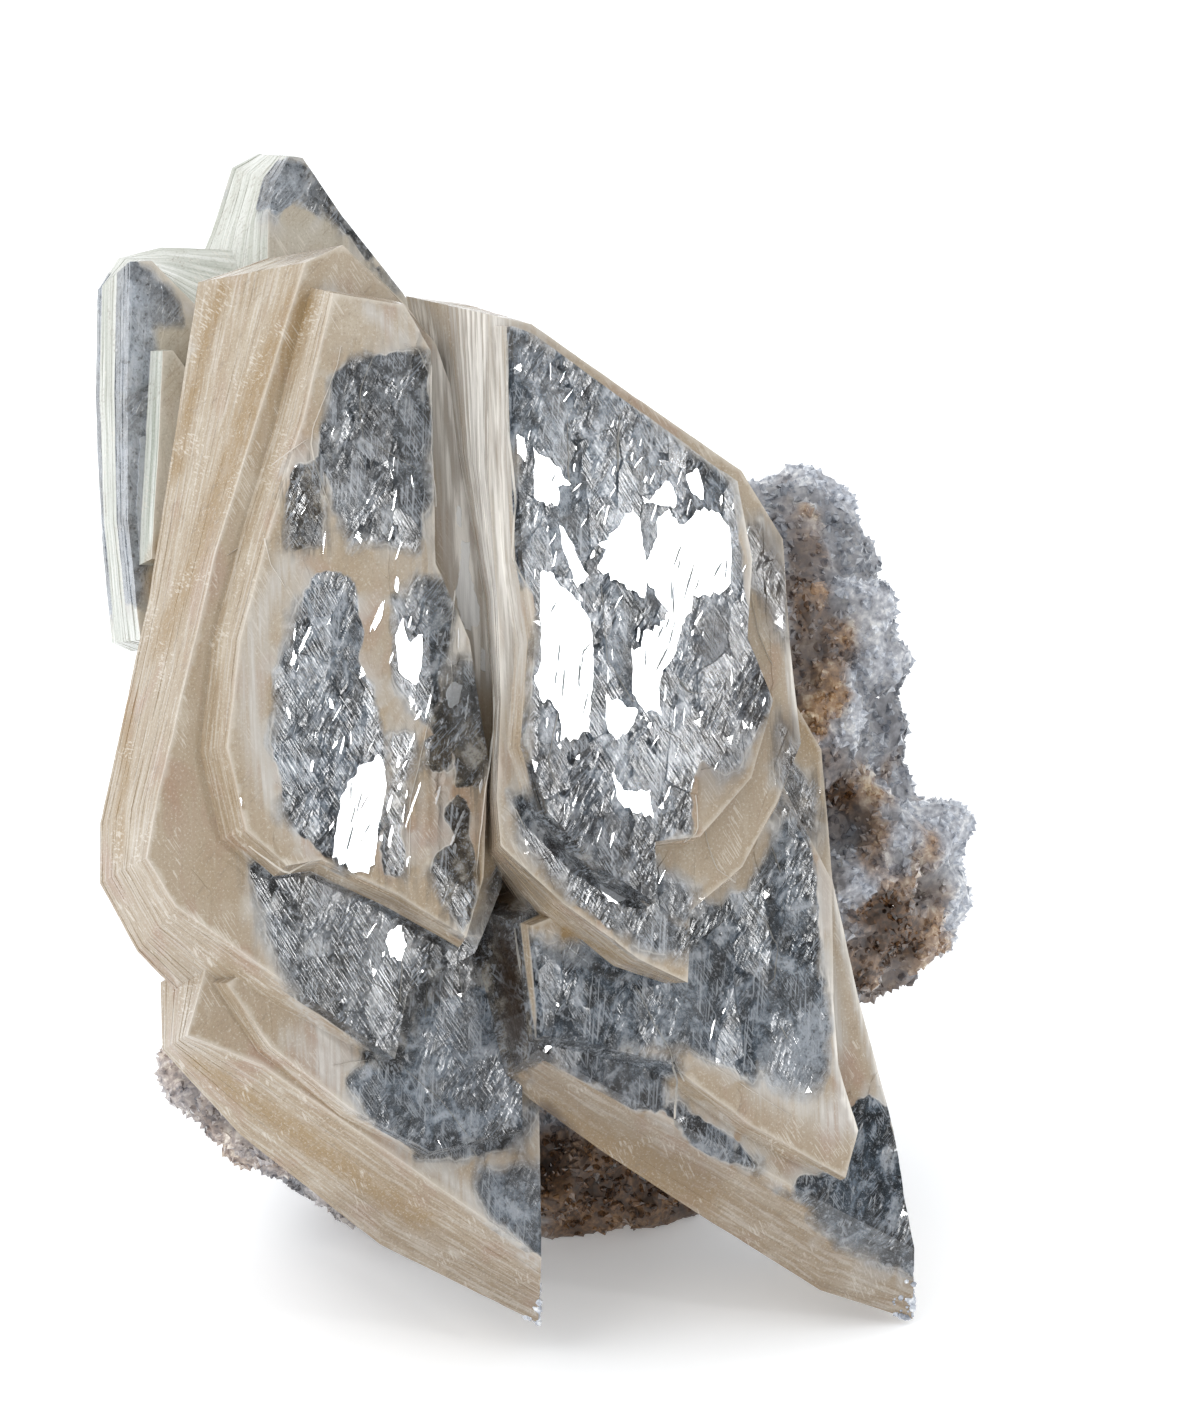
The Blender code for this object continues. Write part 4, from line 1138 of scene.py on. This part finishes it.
def heulandite(name, colours, layered, pale=0.0):
    """Heulandite, grown: milky tan with clear windows full of silvery cleavage flecks.

    Clear parts are see-through and mirror like glass, and their silvery and dark mottling is
    painted reflection and painted shade of inner cleavage cracks; milky ones have a satin, pearly
    gleam.
    layered is how strongly the growth layers show on the walls, pale how white they are.
    """
    made = bpy.data.materials.new(name)
    tree = empty_tree(made)
    plate = add_node(tree, "ShaderNodeAttribute", (), "Vector", attribute_name="plate")
    given = {key: add_node(tree, "ShaderNodeAttribute", (), "Fac", attribute_name=key)
             for key in ("window", "brown", "veil_and_painted_light", "ochre", "umber_and_painted_shade", "tone", "rim", "wall",
                         "line", "shine")}
    noise = {}
    for key, (size, turn, detail, rough, wander) in PATTERNS.items():
        laid = add_node(tree, "ShaderNodeMapping", {
            "Vector": plate, "Scale": size, "Rotation": (0, 0, math.radians(turn))},
            vector_type="TEXTURE")
        noise[key] = add_node(tree, "ShaderNodeTexNoise", {
            "Vector": laid, "Scale": 1.0, "Detail": detail, "Roughness": rough,
            "Distortion": wander})

    # Shapes that several layers share
    here, there = (add_node(tree, "ShaderNodeMapRange", (noise["patches"], *ends, 0.0, 1.0))
                   for ends in ((0.46, 0.58), (0.52, 0.42)))
    masked = {}
    for key, source, mask in (("strokes", "strokes", here), ("cuts", "cuts", there),
                              ("dashes", "dashes", here), ("fibres", "fibres", there)):
        masked[key] = add_node(tree, "ShaderNodeMath", (noise[source], mask),
                               operation="MULTIPLY")
    ragged = add_node(tree, "ShaderNodeMapRange", (noise["border"], 0.25, 0.75, -0.4, 0.4))
    ragged = add_node(tree, "ShaderNodeMath", (given["window"], ragged), operation="ADD")
    soft = add_node(tree, "ShaderNodeMapRange", (noise["clouds"], 0.42, 0.6, 0.08, 0.8))
    hard = add_node(tree, "ShaderNodeMath", (soft, -1.0), operation="MULTIPLY")
    opening = add_node(tree, "ShaderNodeMapRange", (ragged, hard, soft, 0.0, 1.0))
    ridge = add_node(tree, "ShaderNodeMath", (ragged,), operation="ABSOLUTE")
    ridge = add_node(tree, "ShaderNodeMapRange", (ridge, 0.11, 0.03, 0.0, 1.0))
    ridge = add_node(tree, "ShaderNodeMath", (ridge, there), operation="MULTIPLY")
    halo = add_node(tree, "ShaderNodeMapRange", (ragged, -1.7, -0.1, 0.0, 1.0))
    halo = add_node(tree, "ShaderNodeMath", (halo, there), operation="MULTIPLY")
    stain = add_node(tree, "ShaderNodeMath", (given["ochre"], noise["streaks"]),
                     operation="MULTIPLY")
    uneven = add_node(tree, "ShaderNodeMapRange", (noise["streaks"], 0.38, 0.6, 0.45, 1.2))
    veiling_and_painted_light = add_node(tree, "ShaderNodeMath", (given["veil_and_painted_light"], uneven), operation="MULTIPLY")
    walled = add_node(tree, "ShaderNodeMath", (given["wall"], noise["sheets"]),
                      operation="MULTIPLY")
    layers = add_node(tree, "ShaderNodeMix", {0: 0.75, 2: given["tone"], 3: noise["growth"]})
    layers = add_node(tree, "ShaderNodeValToRGB", (layers,), stops=[
        (0.3, "#8E978B"), (0.5, colours.pale), (0.68, "#E3E6E2")] if pale else [
        (0.34, "#7C664A"), (0.44, colours.ochre), (0.51, colours.tan), (0.64, "#AEA28F")])

    # Colours laid over one another: source, its range, share at the top of it, and colour
    high = add_node(tree, "ShaderNodeSeparateXYZ", (plate,), "Y")
    near_edge = add_node(tree, "ShaderNodeMapRange", (ragged, 2.0, 0.3, 0.0, 1.0))
    near_edge = add_node(tree, "ShaderNodeMath", (near_edge, here), operation="MULTIPLY")
    milk = add_node(tree, "ShaderNodeValToRGB", (noise["clouds"],), stops=[
        (0.34, colours.rose), (0.46, colours.tan), (0.58, colours.tan), (0.7, colours.cream)])
    if pale:
        share = add_node(tree, "ShaderNodeMapRange", (given["wall"], 0.0, 1.0, 0.5, pale))
        milk = add_node(tree, "ShaderNodeMix", {0: share, 6: milk, 7: linear(colours.pale)}, 2,
                        data_type="RGBA")
    milk = laid_over(tree, milk, (
        # Darker towards the crystals' lower ends and paler towards their upper ends.
        (high, 45.0, 0.0, 0.3 * (1 - pale), "#7F6A55"),
        (high, 45.0, 80.0, 0.35, colours.cream),
        (noise["patches"], 0.5, 0.66, 0.2, colours.ochre),
        (noise["streaks"], 0.52, 0.7, 0.22, colours.cream),
        (noise["streaks"], 0.46, 0.32, 0.17, colours.rose),
        (given["wall"], 0.0, 1.0, layered, layers),
        (walled, 0.5, 0.62, 0.26 * (1 - pale), "#D9D6CF"),
        (stain, 0.1, 0.5, 0.85, colours.ochre),
        (masked["cuts"], 0.54, 0.66, 0.45, "#D6CFC3"),
        (masked["strokes"], 0.54, 0.68, 0.35, "#7D6F5F"),
        (noise["grain"], 0.58, 0.74, 0.32, "#DAD5CB"),
        (noise["grain"], 0.42, 0.28, 0.28, "#65594C"),
        # Painted light: veils stronger than 1 turn near-white over walls that lie in shade.
        (veiling_and_painted_light, 0.0, 1.0, 0.8, "#BAB6B0"),
        (veiling_and_painted_light, 1.0, 2.0, 0.9, "#EFEBE4"),
        (halo, 0.0, 1.0, 0.75, "#B3AFA9"),
        # Painted highlight: the faces' edges, marked as rim, are lighter.
        (given["rim"], 0.35, 1.0, 0.5, "#D3CCC0")))
    # Painted reflection and painted shade: the windows' dark slate and brown mottling, with silver
    # and near-white flecks, stands in for the inner cleavage cracks that a half see-through face
    # would show.
    glass = add_node(tree, "ShaderNodeValToRGB", (noise["mottle"],), stops=[
        (0.36, "#1F252B"), (0.44, "#333D46"), (0.51, "#4B5865"), (0.57, "#788694"),
        (0.66, "#C0C8D2")])
    tawny = add_node(tree, "ShaderNodeValToRGB", (noise["mottle"],), stops=[
        (0.36, "#1E1912"), (0.45, "#373026"), (0.52, "#564C3E"), (0.59, "#837866"),
        (0.68, "#BDB5A6")])
    glass = laid_over(tree, glass, (
        (given["brown"], 0.0, 1.0, 1.0, tawny),
        (given["brown"], 0.0, -1.0, 0.62, "#C6CDD5"),
        (near_edge, 0.0, 1.0, 0.55, tawny),
        (noise["clouds"], 0.5, 0.66, 0.34, "#A4ACB5"),
        (noise["spots"], 0.54, 0.72, 0.7, "#C9CFD7"),
        (noise["spots"], 0.46, 0.31, 0.7, "#14171B"),
        (noise["grain"], 0.6, 0.72, 0.4, "#DCE0E5"),
        (noise["grain"], 0.42, 0.28, 0.4, "#15181C"),
        (masked["strokes"], 0.5, 0.64, 0.6, "#B4BCC6"),
        (masked["cuts"], 0.53, 0.64, 0.6, "#C6CDD5"),
        (masked["fibres"], 0.53, 0.64, 0.6, "#D0D5DB"),
        (masked["dashes"], 0.72, 0.78, 0.8, "#F2F4F6")))
    # Splinters of brown glass run through the milk beside the brown windows
    beside = add_node(tree, "ShaderNodeMapRange", (ragged, -1.8, -0.2, 0.0, 1.0))
    beside = add_node(tree, "ShaderNodeMath", (beside, given["brown"]), operation="MULTIPLY")
    splinters = add_node(tree, "ShaderNodeMapRange", (noise["streaks"], 0.46, 0.6, 0.0, 1.0))
    beside = add_node(tree, "ShaderNodeMath", (beside, splinters), operation="MULTIPLY")
    colour = laid_over(tree, milk, (
        (beside, 0.0, 1.0, 0.6, tawny), (opening, 0.0, 1.0, 1.0, glass),
        # Umber streaks: partly brown tint, partly painted shade in recesses, crevices and lower
        # edges.
        (ridge, 0.0, 1.0, 0.5, "#D2CEC7"), (given["umber_and_painted_shade"], 0.0, 1.0, 0.85, "#3B2A1A"),
        # Painted highlight: the shining facets get a pale colour of their own, which shows also
        # where the lamp's glint does not reach them.
        (given["line"], 0.0, 1.0, 0.7, "#D8D3CA"), (given["shine"], 0.0, 1.0, 0.5, "#E6EAEE")))

    # Cleavage flecks catch the lamp one by one: splinters of 0.15 by 0.8 mm, a little askew
    laid = add_node(tree, "ShaderNodeMapping", {
        "Vector": plate, "Scale": (0.16, 0.8, 0.4), "Rotation": (0, 0, -0.35)},
        vector_type="TEXTURE")
    flecks = add_node(tree, "ShaderNodeTexVoronoi", {"Vector": laid, "Scale": 1.0}, "Color")
    askew = add_node(tree, "ShaderNodeVectorMath", (flecks, (0.5, 0.5, 0.5)),
                     operation="SUBTRACT")
    amount = add_node(tree, "ShaderNodeMapRange", (here, 0.0, 1.0, 0.0, 0.08))
    amount = add_node(tree, "ShaderNodeMath", (opening, amount), operation="MULTIPLY")
    askew = add_node(tree, "ShaderNodeVectorMath", {0: askew, "Scale": amount},
                     operation="SCALE")
    normal = add_node(tree, "ShaderNodeNewGeometry", (), "Normal")
    normal = add_node(tree, "ShaderNodeVectorMath", (normal, askew), operation="ADD")
    normal = add_node(tree, "ShaderNodeVectorMath", (normal,), operation="NORMALIZE")
    bump = add_node(tree, "ShaderNodeBump", {
        "Strength": 0.35, "Distance": 0.00004, "Height": noise["cuts"], "Normal": normal})
    rough = add_node(tree, "ShaderNodeMath", (given["wall"], -0.16, 0.4),
                     operation="MULTIPLY_ADD")
    rough = add_node(tree, "ShaderNodeMapRange", (opening, 0.0, 1.0, rough, 0.15))
    coat = add_node(tree, "ShaderNodeMath", (opening, 0.7), operation="MULTIPLY")
    coat = add_node(tree, "ShaderNodeMath", (coat, given["shine"]), operation="MAXIMUM")
    glossy = add_node(tree, "ShaderNodeMath", (given["wall"], 0.35), operation="MULTIPLY")
    coat = add_node(tree, "ShaderNodeMath", (coat, glossy), operation="MAXIMUM")
    through = add_node(tree, "ShaderNodeMath", (opening, 0.5), operation="MULTIPLY")
    shader = add_node(tree, "ShaderNodeBsdfPrincipled", {
        "Base Color": colour, "Normal": bump, "IOR": 1.5, "Coat Weight": coat,
        "Coat Roughness": 0.03, "Coat IOR": 1.5, "Roughness": rough,
        "Transmission Weight": through})
    volume = add_node(tree, "ShaderNodeVolumeAbsorption", {
        "Color": linear("#B9B4A8"), "Density": colours.density})
    add_node(tree, "ShaderNodeOutputMaterial", {"Surface": shader, "Volume": volume})
    return made


def druse_material(name, settings, skin=False):
    """Drusy quartz, grown: glittering grains, lilac-grey where clean and tan where stained."""
    made = bpy.data.materials.new(name)
    tree = empty_tree(made)
    place = add_node(tree, "ShaderNodeTexCoord", (), "Object")
    stain, shade, painted_hollow_shade = (add_node(tree, "ShaderNodeAttribute", (), "Fac", attribute_name=key)
                            for key in ("stain", "shade", "painted_hollow_shade"))
    # Clouds about 4 mm across, and a colour of its own for each grain of about 0.6 mm
    clouds, grains = (add_node(tree, "ShaderNodeTexNoise", {
        "Vector": place, "Scale": scale, "Detail": 3.0, "Roughness": 0.6})
        for scale in (250.0, 1700.0))
    both = add_node(tree, "ShaderNodeMix", {0: 0.62, 2: clouds, 3: grains})
    clean = add_node(tree, "ShaderNodeValToRGB", (both,), stops=[
        (0.36, "#7F848E"), (0.45, "#ABB0BA"), (0.52, settings.quartz), (0.62, "#F8FAFC")])
    rusty = add_node(tree, "ShaderNodeValToRGB", (both,), stops=[
        (0.38, "#4A3019"), (0.45, settings.rust), (0.53, "#A8835C"), (0.64, "#DCC7A8")])
    deep = add_node(tree, "ShaderNodeValToRGB", (both,), stops=[
        (0.4, "#1C0F05"), (0.5, settings.umber_and_painted_shade), (0.62, "#86603A")])
    # Over the clean quartz: iron stain, then painted shade, grey in the hollows and dark brown
    # where the shade attribute is high.
    colour = laid_over(tree, clean, (
        (stain, 0.0, 1.0, 1.0, rusty), (painted_hollow_shade, 0.0, 1.0, 0.7, "#5E6168"),
        (shade, 0.0, 1.0, 1.0, deep)))
    if skin:
        colour = add_node(tree, "ShaderNodeMix", {0: 0.3, 6: colour, 7: linear("#6E6258")}, 2,
                          data_type="RGBA")
    shader = add_node(tree, "ShaderNodeBsdfPrincipled", {
        "Base Color": colour, "Roughness": 0.5 if skin else 0.16, "IOR": 1.54,
        "Coat Weight": 0.0 if skin else 0.5, "Coat Roughness": 0.04,
        "Transmission Weight": 0.0 if skin else 0.1})
    add_node(tree, "ShaderNodeOutputMaterial", {"Surface": shader})
    return made


# =============================== operators ===============================

def sizes_of(context):
    """The panel's settings for the crystals."""
    return context.scene.heulandite_sizes, context.scene.heulandite_colours


def finish_piece(piece, material, node):
    """Gives a piece its material, hangs it on the root body, and hides the imported solid in its
    place.
    """
    piece.data.materials.clear()
    piece.data.materials.append(material)
    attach(piece, "root")
    if node:
        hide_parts(node)


class HEULANDITE_OT_left(bpy.types.Operator):
    """Grow the left crystal and the one it steps down to"""
    bl_idname = "heulandite.left"
    bl_label = "Left crystal"

    def execute(self, context):
        sizes, colours = sizes_of(context)
        stacks = [([(LEFT_REAR, LEFT_BACK), (LEFT_WAIST, LEFT_GIRDLE), (LEFT_FRONT, LEFT_FACE)],
                   [(LEFT_TOP, LEFT_TERRACE, 1.0)]),
                  ([(STEP_REAR, STEP_BACK), (STEP_WAIST, STEP_GIRDLE), (STEP_FRONT, STEP_FACE)],
                   [(STEP_TOP, STEP_TERRACE, 0.6)])]
        dashes = [(LEFT_TERRACE, dash_outline(*dash)) for dash in LEFT_DASHES]
        body = grow(sizes, 11, stacks, LEFT_WINDOWS, LEFT_GLINTS + dashes, LEFT_LINES)
        finish_piece(body_mesh("left_crystal_grown", body),
                     heulandite("heulandite, grown, tan", colours, 0.19),
                     "left_crystal")
        return {"FINISHED"}


class HEULANDITE_OT_right(bpy.types.Operator):
    """Grow the right crystal and its foot"""
    bl_idname = "heulandite.right"
    bl_label = "Right crystal"

    def execute(self, context):
        sizes, colours = sizes_of(context)
        stacks = [([(TOP_REAR, TOP_BACK), (TOP_FRONT, TOP_FACE)], [(TOP_PLATE, TOP_TERRACE, 0.5)]),
                  ([(FOOT_REAR, FOOT_BACK), (FOOT_WAIST, FOOT_GIRDLE), (FOOT_FRONT, FOOT_FACE)],
                   [(FOOT_PLATE, FOOT_TERRACE, 0.6)])]
        body = grow(sizes, 12, stacks, RIGHT_WINDOWS, RIGHT_GLINTS, RIGHT_LINES)
        finish_piece(body_mesh("right_crystal_grown", body),
                     heulandite("heulandite, grown, clear", colours, 0.3),
                     "right_crystal")
        return {"FINISHED"}


class HEULANDITE_OT_blades(bpy.types.Operator):
    """Grow the two pale blades behind the left crystal"""
    bl_idname = "heulandite.blades"
    bl_label = "Blades"

    def execute(self, context):
        sizes, colours = sizes_of(context)
        material = heulandite("heulandite, grown, pale", colours, 0.7, 0.85)
        body = grow(sizes, 13, [([(BLADE_REAR, BLADE_BACK), (BLADE_FRONT, BLADE_FACE)], [])],
                    BLADE_WINDOWS)
        finish_piece(body_mesh("top_blade_grown", body), material, "top_blade")
        body = grow(sizes, 14, [([(SIDE_REAR, SIDE_BACK), (SIDE_FRONT, SIDE_FACE)],
                                 [(SIDE_TOP, SIDE_PLATE, 0.4)])], SIDE_WINDOWS, SIDE_GLINTS)
        finish_piece(body_mesh("side_blade_grown", body), material, "side_blade")
        return {"FINISHED"}


def plain_mesh(made):
    """The object's shape with its modifiers, as a plain mesh."""
    context = bpy.context
    context.view_layer.update()
    shaped = made.evaluated_get(context.evaluated_depsgraph_get())
    mesh = bpy.data.meshes.new_from_object(shaped)
    made.modifiers.clear()
    made.data = mesh
    return mesh


def measure_rock(mesh):
    """Attributes for where the rock is rusty, where it gets painted shade (beside the crystals and
    in dark hollows), and where it is clear of the crystals.
    """
    points = np.empty(len(mesh.vertices) * 3, np.float32)
    mesh.vertices.foreach_get("co", points)
    points = points.reshape(-1, 3)
    away, bare = np.full(len(points), 20.0), np.ones(len(points))
    for tree in map(solid_tree, ("left_crystal", "right_crystal", "top_blade", "side_blade")):
        for i, point in enumerate(points):
            spot, normal, _, far = tree.find_nearest(Vector(point), 0.02)
            if spot is not None:
                away[i] = min(away[i], far * 1000)
                if far > 0.0004 and (Vector(point) - spot).dot(normal) < 0:
                    bare[i] = 0
    mm = points * 1000
    wander = soft_noise(mm, 5.0, 3) + 0.6 * soft_noise(mm, 2.0, 4)
    left = smooth_steps((14 - mm[:, 0]) / 6)
    stain = np.maximum((1 - left) * smooth_steps((1.6 + wander - away) / 2),
                       left * (0.5 + 0.3 * wander))
    # Painted shade: the rock turns dark close to the crystals, where they shade it.
    shade = smooth_steps((0.6 + 0.7 * wander - away) / 1.2) * 0.7
    broken = soft_noise(mm, 2.6, 8) * 0.5 + 0.35 * soft_noise(mm, 1.3, 9)
    for kind, x, z, wide, high, strength in ROCK_STAINS_AND_SHADE:
        apart = np.hypot((mm[:, 0] - x) / wide, (mm[:, 2] - z) / high)
        share = strength * smooth_steps((1.25 + broken - apart) * 1.6)
        target = stain if kind == "rust" else shade
        np.maximum(target, share, out=target)
    for key, values in (("stain", stain), ("shade", shade), ("bare", bare)):
        give(mesh, key, values)


class HEULANDITE_OT_rock(bpy.types.Operator):
    """Roughen the rock's skin"""
    bl_idname = "heulandite.rock"
    bl_label = "Rock"

    def execute(self, context):
        settings = context.scene.heulandite_rock
        solid = bmesh.new()
        solid.from_mesh(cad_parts["matrix"].data)
        bmesh.ops.remove_doubles(solid, verts=solid.verts, dist=1e-6)
        mesh = bpy.data.meshes.new("matrix_skin")
        solid.to_mesh(mesh)
        solid.free()
        piece = placed("matrix_skin", mesh)
        remesh = piece.modifiers.new("fine", "REMESH")
        remesh.mode = "VOXEL"
        remesh.voxel_size = settings.voxel
        mesh = plain_mesh(piece)
        points = np.array([tuple(v.co) for v in mesh.vertices])
        normals = np.array([tuple(v.normal) for v in mesh.vertices])
        mm = points * 1000
        lift = 1.3 * soft_noise(mm, 4.6, 1) + 1.0 * soft_noise(mm, 2.4, 2)
        lift += 0.45 * soft_noise(mm, 1.1, 6) - 0.4
        # Painted shade: the hollows between the lumps are greyer.
        painted_hollow_shade = smooth_steps(0.35 - 0.75 * lift)
        lift *= smooth_steps((mm[:, 2] - 0.2) / 1.5)
        move_points(mesh, points + normals * (lift / 1000)[:, None])
        mesh.update()
        give(mesh, "painted_hollow_shade", painted_hollow_shade)
        measure_rock(mesh)
        finish_piece(piece, druse_material("quartz rock, broken", settings, True), "matrix")
        return {"FINISHED"}


def druse_tree(material):
    """Quartz points scattered over bare rock, each a six-sided pyramid."""
    tree = bpy.data.node_groups.new("quartz druse", "GeometryNodeTree")
    face = tree.interface
    face.new_socket("Rock", in_out="INPUT", socket_type="NodeSocketGeometry")
    for label, kind in (("Density", "NodeSocketFloat"), ("Point radius", "NodeSocketFloat"),
                        ("Seed", "NodeSocketInt")):
        face.new_socket(label, in_out="INPUT", socket_type=kind)
    face.new_socket("Druse", in_out="OUTPUT", socket_type="NodeSocketGeometry")
    given = tree.nodes.new("NodeGroupInput").outputs
    place = add_node(tree, "GeometryNodeInputPosition")
    high = add_node(tree, "ShaderNodeSeparateXYZ", {0: place}, 2)
    above = add_node(tree, "ShaderNodeMath", {0: high, 1: 0.0006}, operation="GREATER_THAN")
    bare = add_node(tree, "GeometryNodeInputNamedAttribute", {"Name": "bare"},
                    data_type="FLOAT")
    chosen = add_node(tree, "ShaderNodeMath", {0: above, 1: bare}, operation="MULTIPLY")
    scatter = tree.nodes.new("GeometryNodeDistributePointsOnFaces")
    for key, value in (("Mesh", given["Rock"]), ("Selection", chosen),
                       ("Density", given["Density"]), ("Seed", given["Seed"])):
        tree.links.new(value, scatter.inputs[key])
    tall = add_node(tree, "ShaderNodeMath", {0: given["Point radius"], 1: 1.35},
                    operation="MULTIPLY")
    cone = add_node(tree, "GeometryNodeMeshCone", {
        "Vertices": 6, "Radius Bottom": given["Point radius"], "Depth": tall})
    sunk = add_node(tree, "GeometryNodeTransform", {"Geometry": cone,
                                                    "Translation": (0, 0, -0.0002)})
    tilt = add_node(tree, "FunctionNodeRandomValue", {
        0: (-0.5, -0.5, 0.0), 1: (0.5, 0.5, 6.28), "Seed": 2}, data_type="FLOAT_VECTOR")
    turned = add_node(tree, "FunctionNodeRotateEuler", {0: scatter.outputs["Rotation"], 1: tilt},
                      space="LOCAL")
    size = add_node(tree, "FunctionNodeRandomValue", {2: 0.45, 3: 1.6, "Seed": 3}, 1)
    points = add_node(tree, "GeometryNodeInstanceOnPoints", {
        "Points": scatter.outputs["Points"], "Instance": sunk, "Rotation": turned,
        "Scale": size})
    real = add_node(tree, "GeometryNodeRealizeInstances", {0: points})
    coat = add_node(tree, "GeometryNodeSetMaterial", {"Geometry": real, "Material": material})
    add_node(tree, "NodeGroupOutput", {0: coat})
    return tree


class HEULANDITE_OT_druse(bpy.types.Operator):
    """Scatter the quartz points over the rock, and a few grains on the crystals' tips"""
    bl_idname = "heulandite.druse"
    bl_label = "Druse"

    def execute(self, context):
        settings = context.scene.heulandite_rock
        material = druse_material("quartz druse, grown", settings)
        piece = placed("quartz_points", bpy.data.objects["matrix_skin"].data.copy())
        scatter = piece.modifiers.new("druse", "NODES")
        scatter.node_group = druse_tree(material)
        wanted = {"Density": settings.density, "Point radius": settings.point,
                  "Seed": settings.seed}
        for socket in scatter.node_group.interface.items_tree:
            if socket.name in wanted:
                scatter[socket.identifier] = wanted[socket.name]
        mesh = plain_mesh(piece)
        if not mesh.polygons:
            raise RuntimeError("the druse came out empty")
        move_points(mesh, np.array([tuple(v.co) for v in mesh.vertices]))
        finish_piece(piece, material, None)
        self.tip_grains(settings)
        return {"FINISHED"}

    def tip_grains(self, settings):
        """A few clear grains stuck to the crystals' lowest corners."""
        random = np.random.default_rng(settings.seed)
        grains = bmesh.new()
        for tip, node in zip(TIPS, ("left_crystal", "right_crystal")):
            tree = solid_tree(node)
            for offset in random.normal(0, 1, (GRAINS, 3)) * GRAIN_SPREAD + GRAIN_SHIFT:
                spot, normal, _, _ = tree.find_nearest(Vector(to_row([tip + offset])[0]))
                if spot.z < GRAIN_FLOOR:
                    continue
                size = random.uniform(*GRAIN_SIZE)
                shape = (Matrix.Translation(spot - normal * size * 0.1)
                         @ Matrix.Rotation(random.uniform(0, 6), 4, random.normal(size=3))
                         @ Matrix.Scale(size, 4))
                bmesh.ops.create_icosphere(grains, subdivisions=1, radius=1.0, matrix=shape)
        mesh = bpy.data.meshes.new("tip_grains")
        grains.to_mesh(mesh)
        grains.free()
        for name in ("stain", "shade"):
            give(mesh, name, np.zeros(len(mesh.vertices)))
        finish_piece(placed("tip_grains", mesh),
                     druse_material("quartz grains, grown, clean", settings), None)


class HEULANDITE_OT_stage(bpy.types.Operator):
    """Lay the floor, and set the lights and the camera"""
    bl_idname = "heulandite.stage"
    bl_label = "Stage"

    def execute(self, context):
        scene, settings = context.scene, context.scene.heulandite_stage
        mesh = bpy.data.meshes.new("floor")
        mesh.from_pydata([(*corner, -FLOOR_DROP) for corner in FLOOR_SHEET], [], [(0, 1, 2, 3)])
        floor = placed("floor", mesh)
        # Matt paper, which scatters light evenly and gives back a little of its own
        paper = bpy.data.materials.new("paper, matt")
        paper.use_nodes = True
        shader = paper.node_tree.nodes["Principled BSDF"]
        shader.inputs["Base Color"].default_value = linear(settings.paper)
        shader.inputs["Roughness"].default_value = 0.9
        shader.inputs["Emission Color"].default_value = linear(settings.paper)
        shader.inputs["Emission Strength"].default_value = settings.glow
        mesh.materials.append(paper)
        scene.world = self.room(settings)
        self.light("soft_box", SOFT_BOX, settings.soft, SOFT_BOX_SIZE)
        self.light("lamp", lamp_place(), settings.lamp, settings.lamp_size)
        camera = bpy.data.cameras.new("camera")
        camera.lens, camera.sensor_width, camera.clip_start = LENS, SENSOR, 0.01
        stand = placed("camera", camera)
        stand.location, stand.rotation_euler = EYE, (PITCH, 0, 0)
        scene.camera = stand
        scene.view_settings.view_transform = "Standard"
        # Light that has met this many faces inside the crystals no longer shows
        scene.cycles.max_bounces, scene.cycles.transmission_bounces = 5, 5
        return {"FINISHED"}

    def room(self, settings):
        """A white room, darker on the side that the pearly faces mirror."""
        world = bpy.data.worlds.new("white room")
        tree = empty_tree(world)
        towards = add_node(tree, "ShaderNodeTexCoord", (), "Generated")
        facing = add_node(tree, "ShaderNodeVectorMath", {
            0: towards, 1: (lamp_place() - AIM).normalized()}, "Value", operation="DOT_PRODUCT")
        strength = add_node(
            tree, "ShaderNodeMapRange", (facing, *DUSK_EDGES, settings.sky, settings.dusk),
            interpolation_type="SMOOTHSTEP")
        light = add_node(tree, "ShaderNodeBackground", {0: (0.97, 0.985, 1, 1), 1: strength})
        add_node(tree, "ShaderNodeOutputWorld", {0: light})
        return world

    def light(self, name, place, power, size):
        """A round light that faces the cluster."""
        data = bpy.data.lights.new(name, "AREA")
        data.energy, data.size, data.shape = power, size, "DISK"
        made = placed(name, data)
        made.location = place
        made.rotation_euler = (place - AIM).to_track_quat("Z", "Y").to_euler()


class HEULANDITE_PT_panel(bpy.types.Panel):
    bl_label = "Heulandite cluster"
    bl_idname = "HEULANDITE_PT_panel"
    bl_space_type = "VIEW_3D"
    bl_region_type = "UI"
    bl_category = "Heulandite"

    def draw(self, context):
        for kind in OPERATORS:
            self.layout.operator(kind.bl_idname)
        for name, kind in SETTINGS.items():
            group = getattr(context.scene, name)
            for key in kind.__annotations__:
                self.layout.prop(group, key)


SETTINGS = {"heulandite_sizes": CrystalSizes, "heulandite_colours": CrystalColours,
            "heulandite_rock": RockSettings, "heulandite_stage": StageSettings}
OPERATORS = (HEULANDITE_OT_left, HEULANDITE_OT_right, HEULANDITE_OT_blades, HEULANDITE_OT_rock,
             HEULANDITE_OT_druse, HEULANDITE_OT_stage)


def register():
    for kind in (*SETTINGS.values(), *OPERATORS, HEULANDITE_PT_panel):
        bpy.utils.register_class(kind)
    for name, kind in SETTINGS.items():
        setattr(bpy.types.Scene, name, bpy.props.PointerProperty(type=kind))


def unregister():
    for name in SETTINGS:
        delattr(bpy.types.Scene, name)
    for kind in reversed((*SETTINGS.values(), *OPERATORS, HEULANDITE_PT_panel)):
        bpy.utils.unregister_class(kind)


def main():
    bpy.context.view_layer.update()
    register()
    bpy.ops.heulandite.left()
    bpy.ops.heulandite.right()
    bpy.ops.heulandite.blades()
    bpy.ops.heulandite.rock()
    bpy.ops.heulandite.druse()
    bpy.ops.heulandite.stage()


if __name__ == "__main__":
    main()
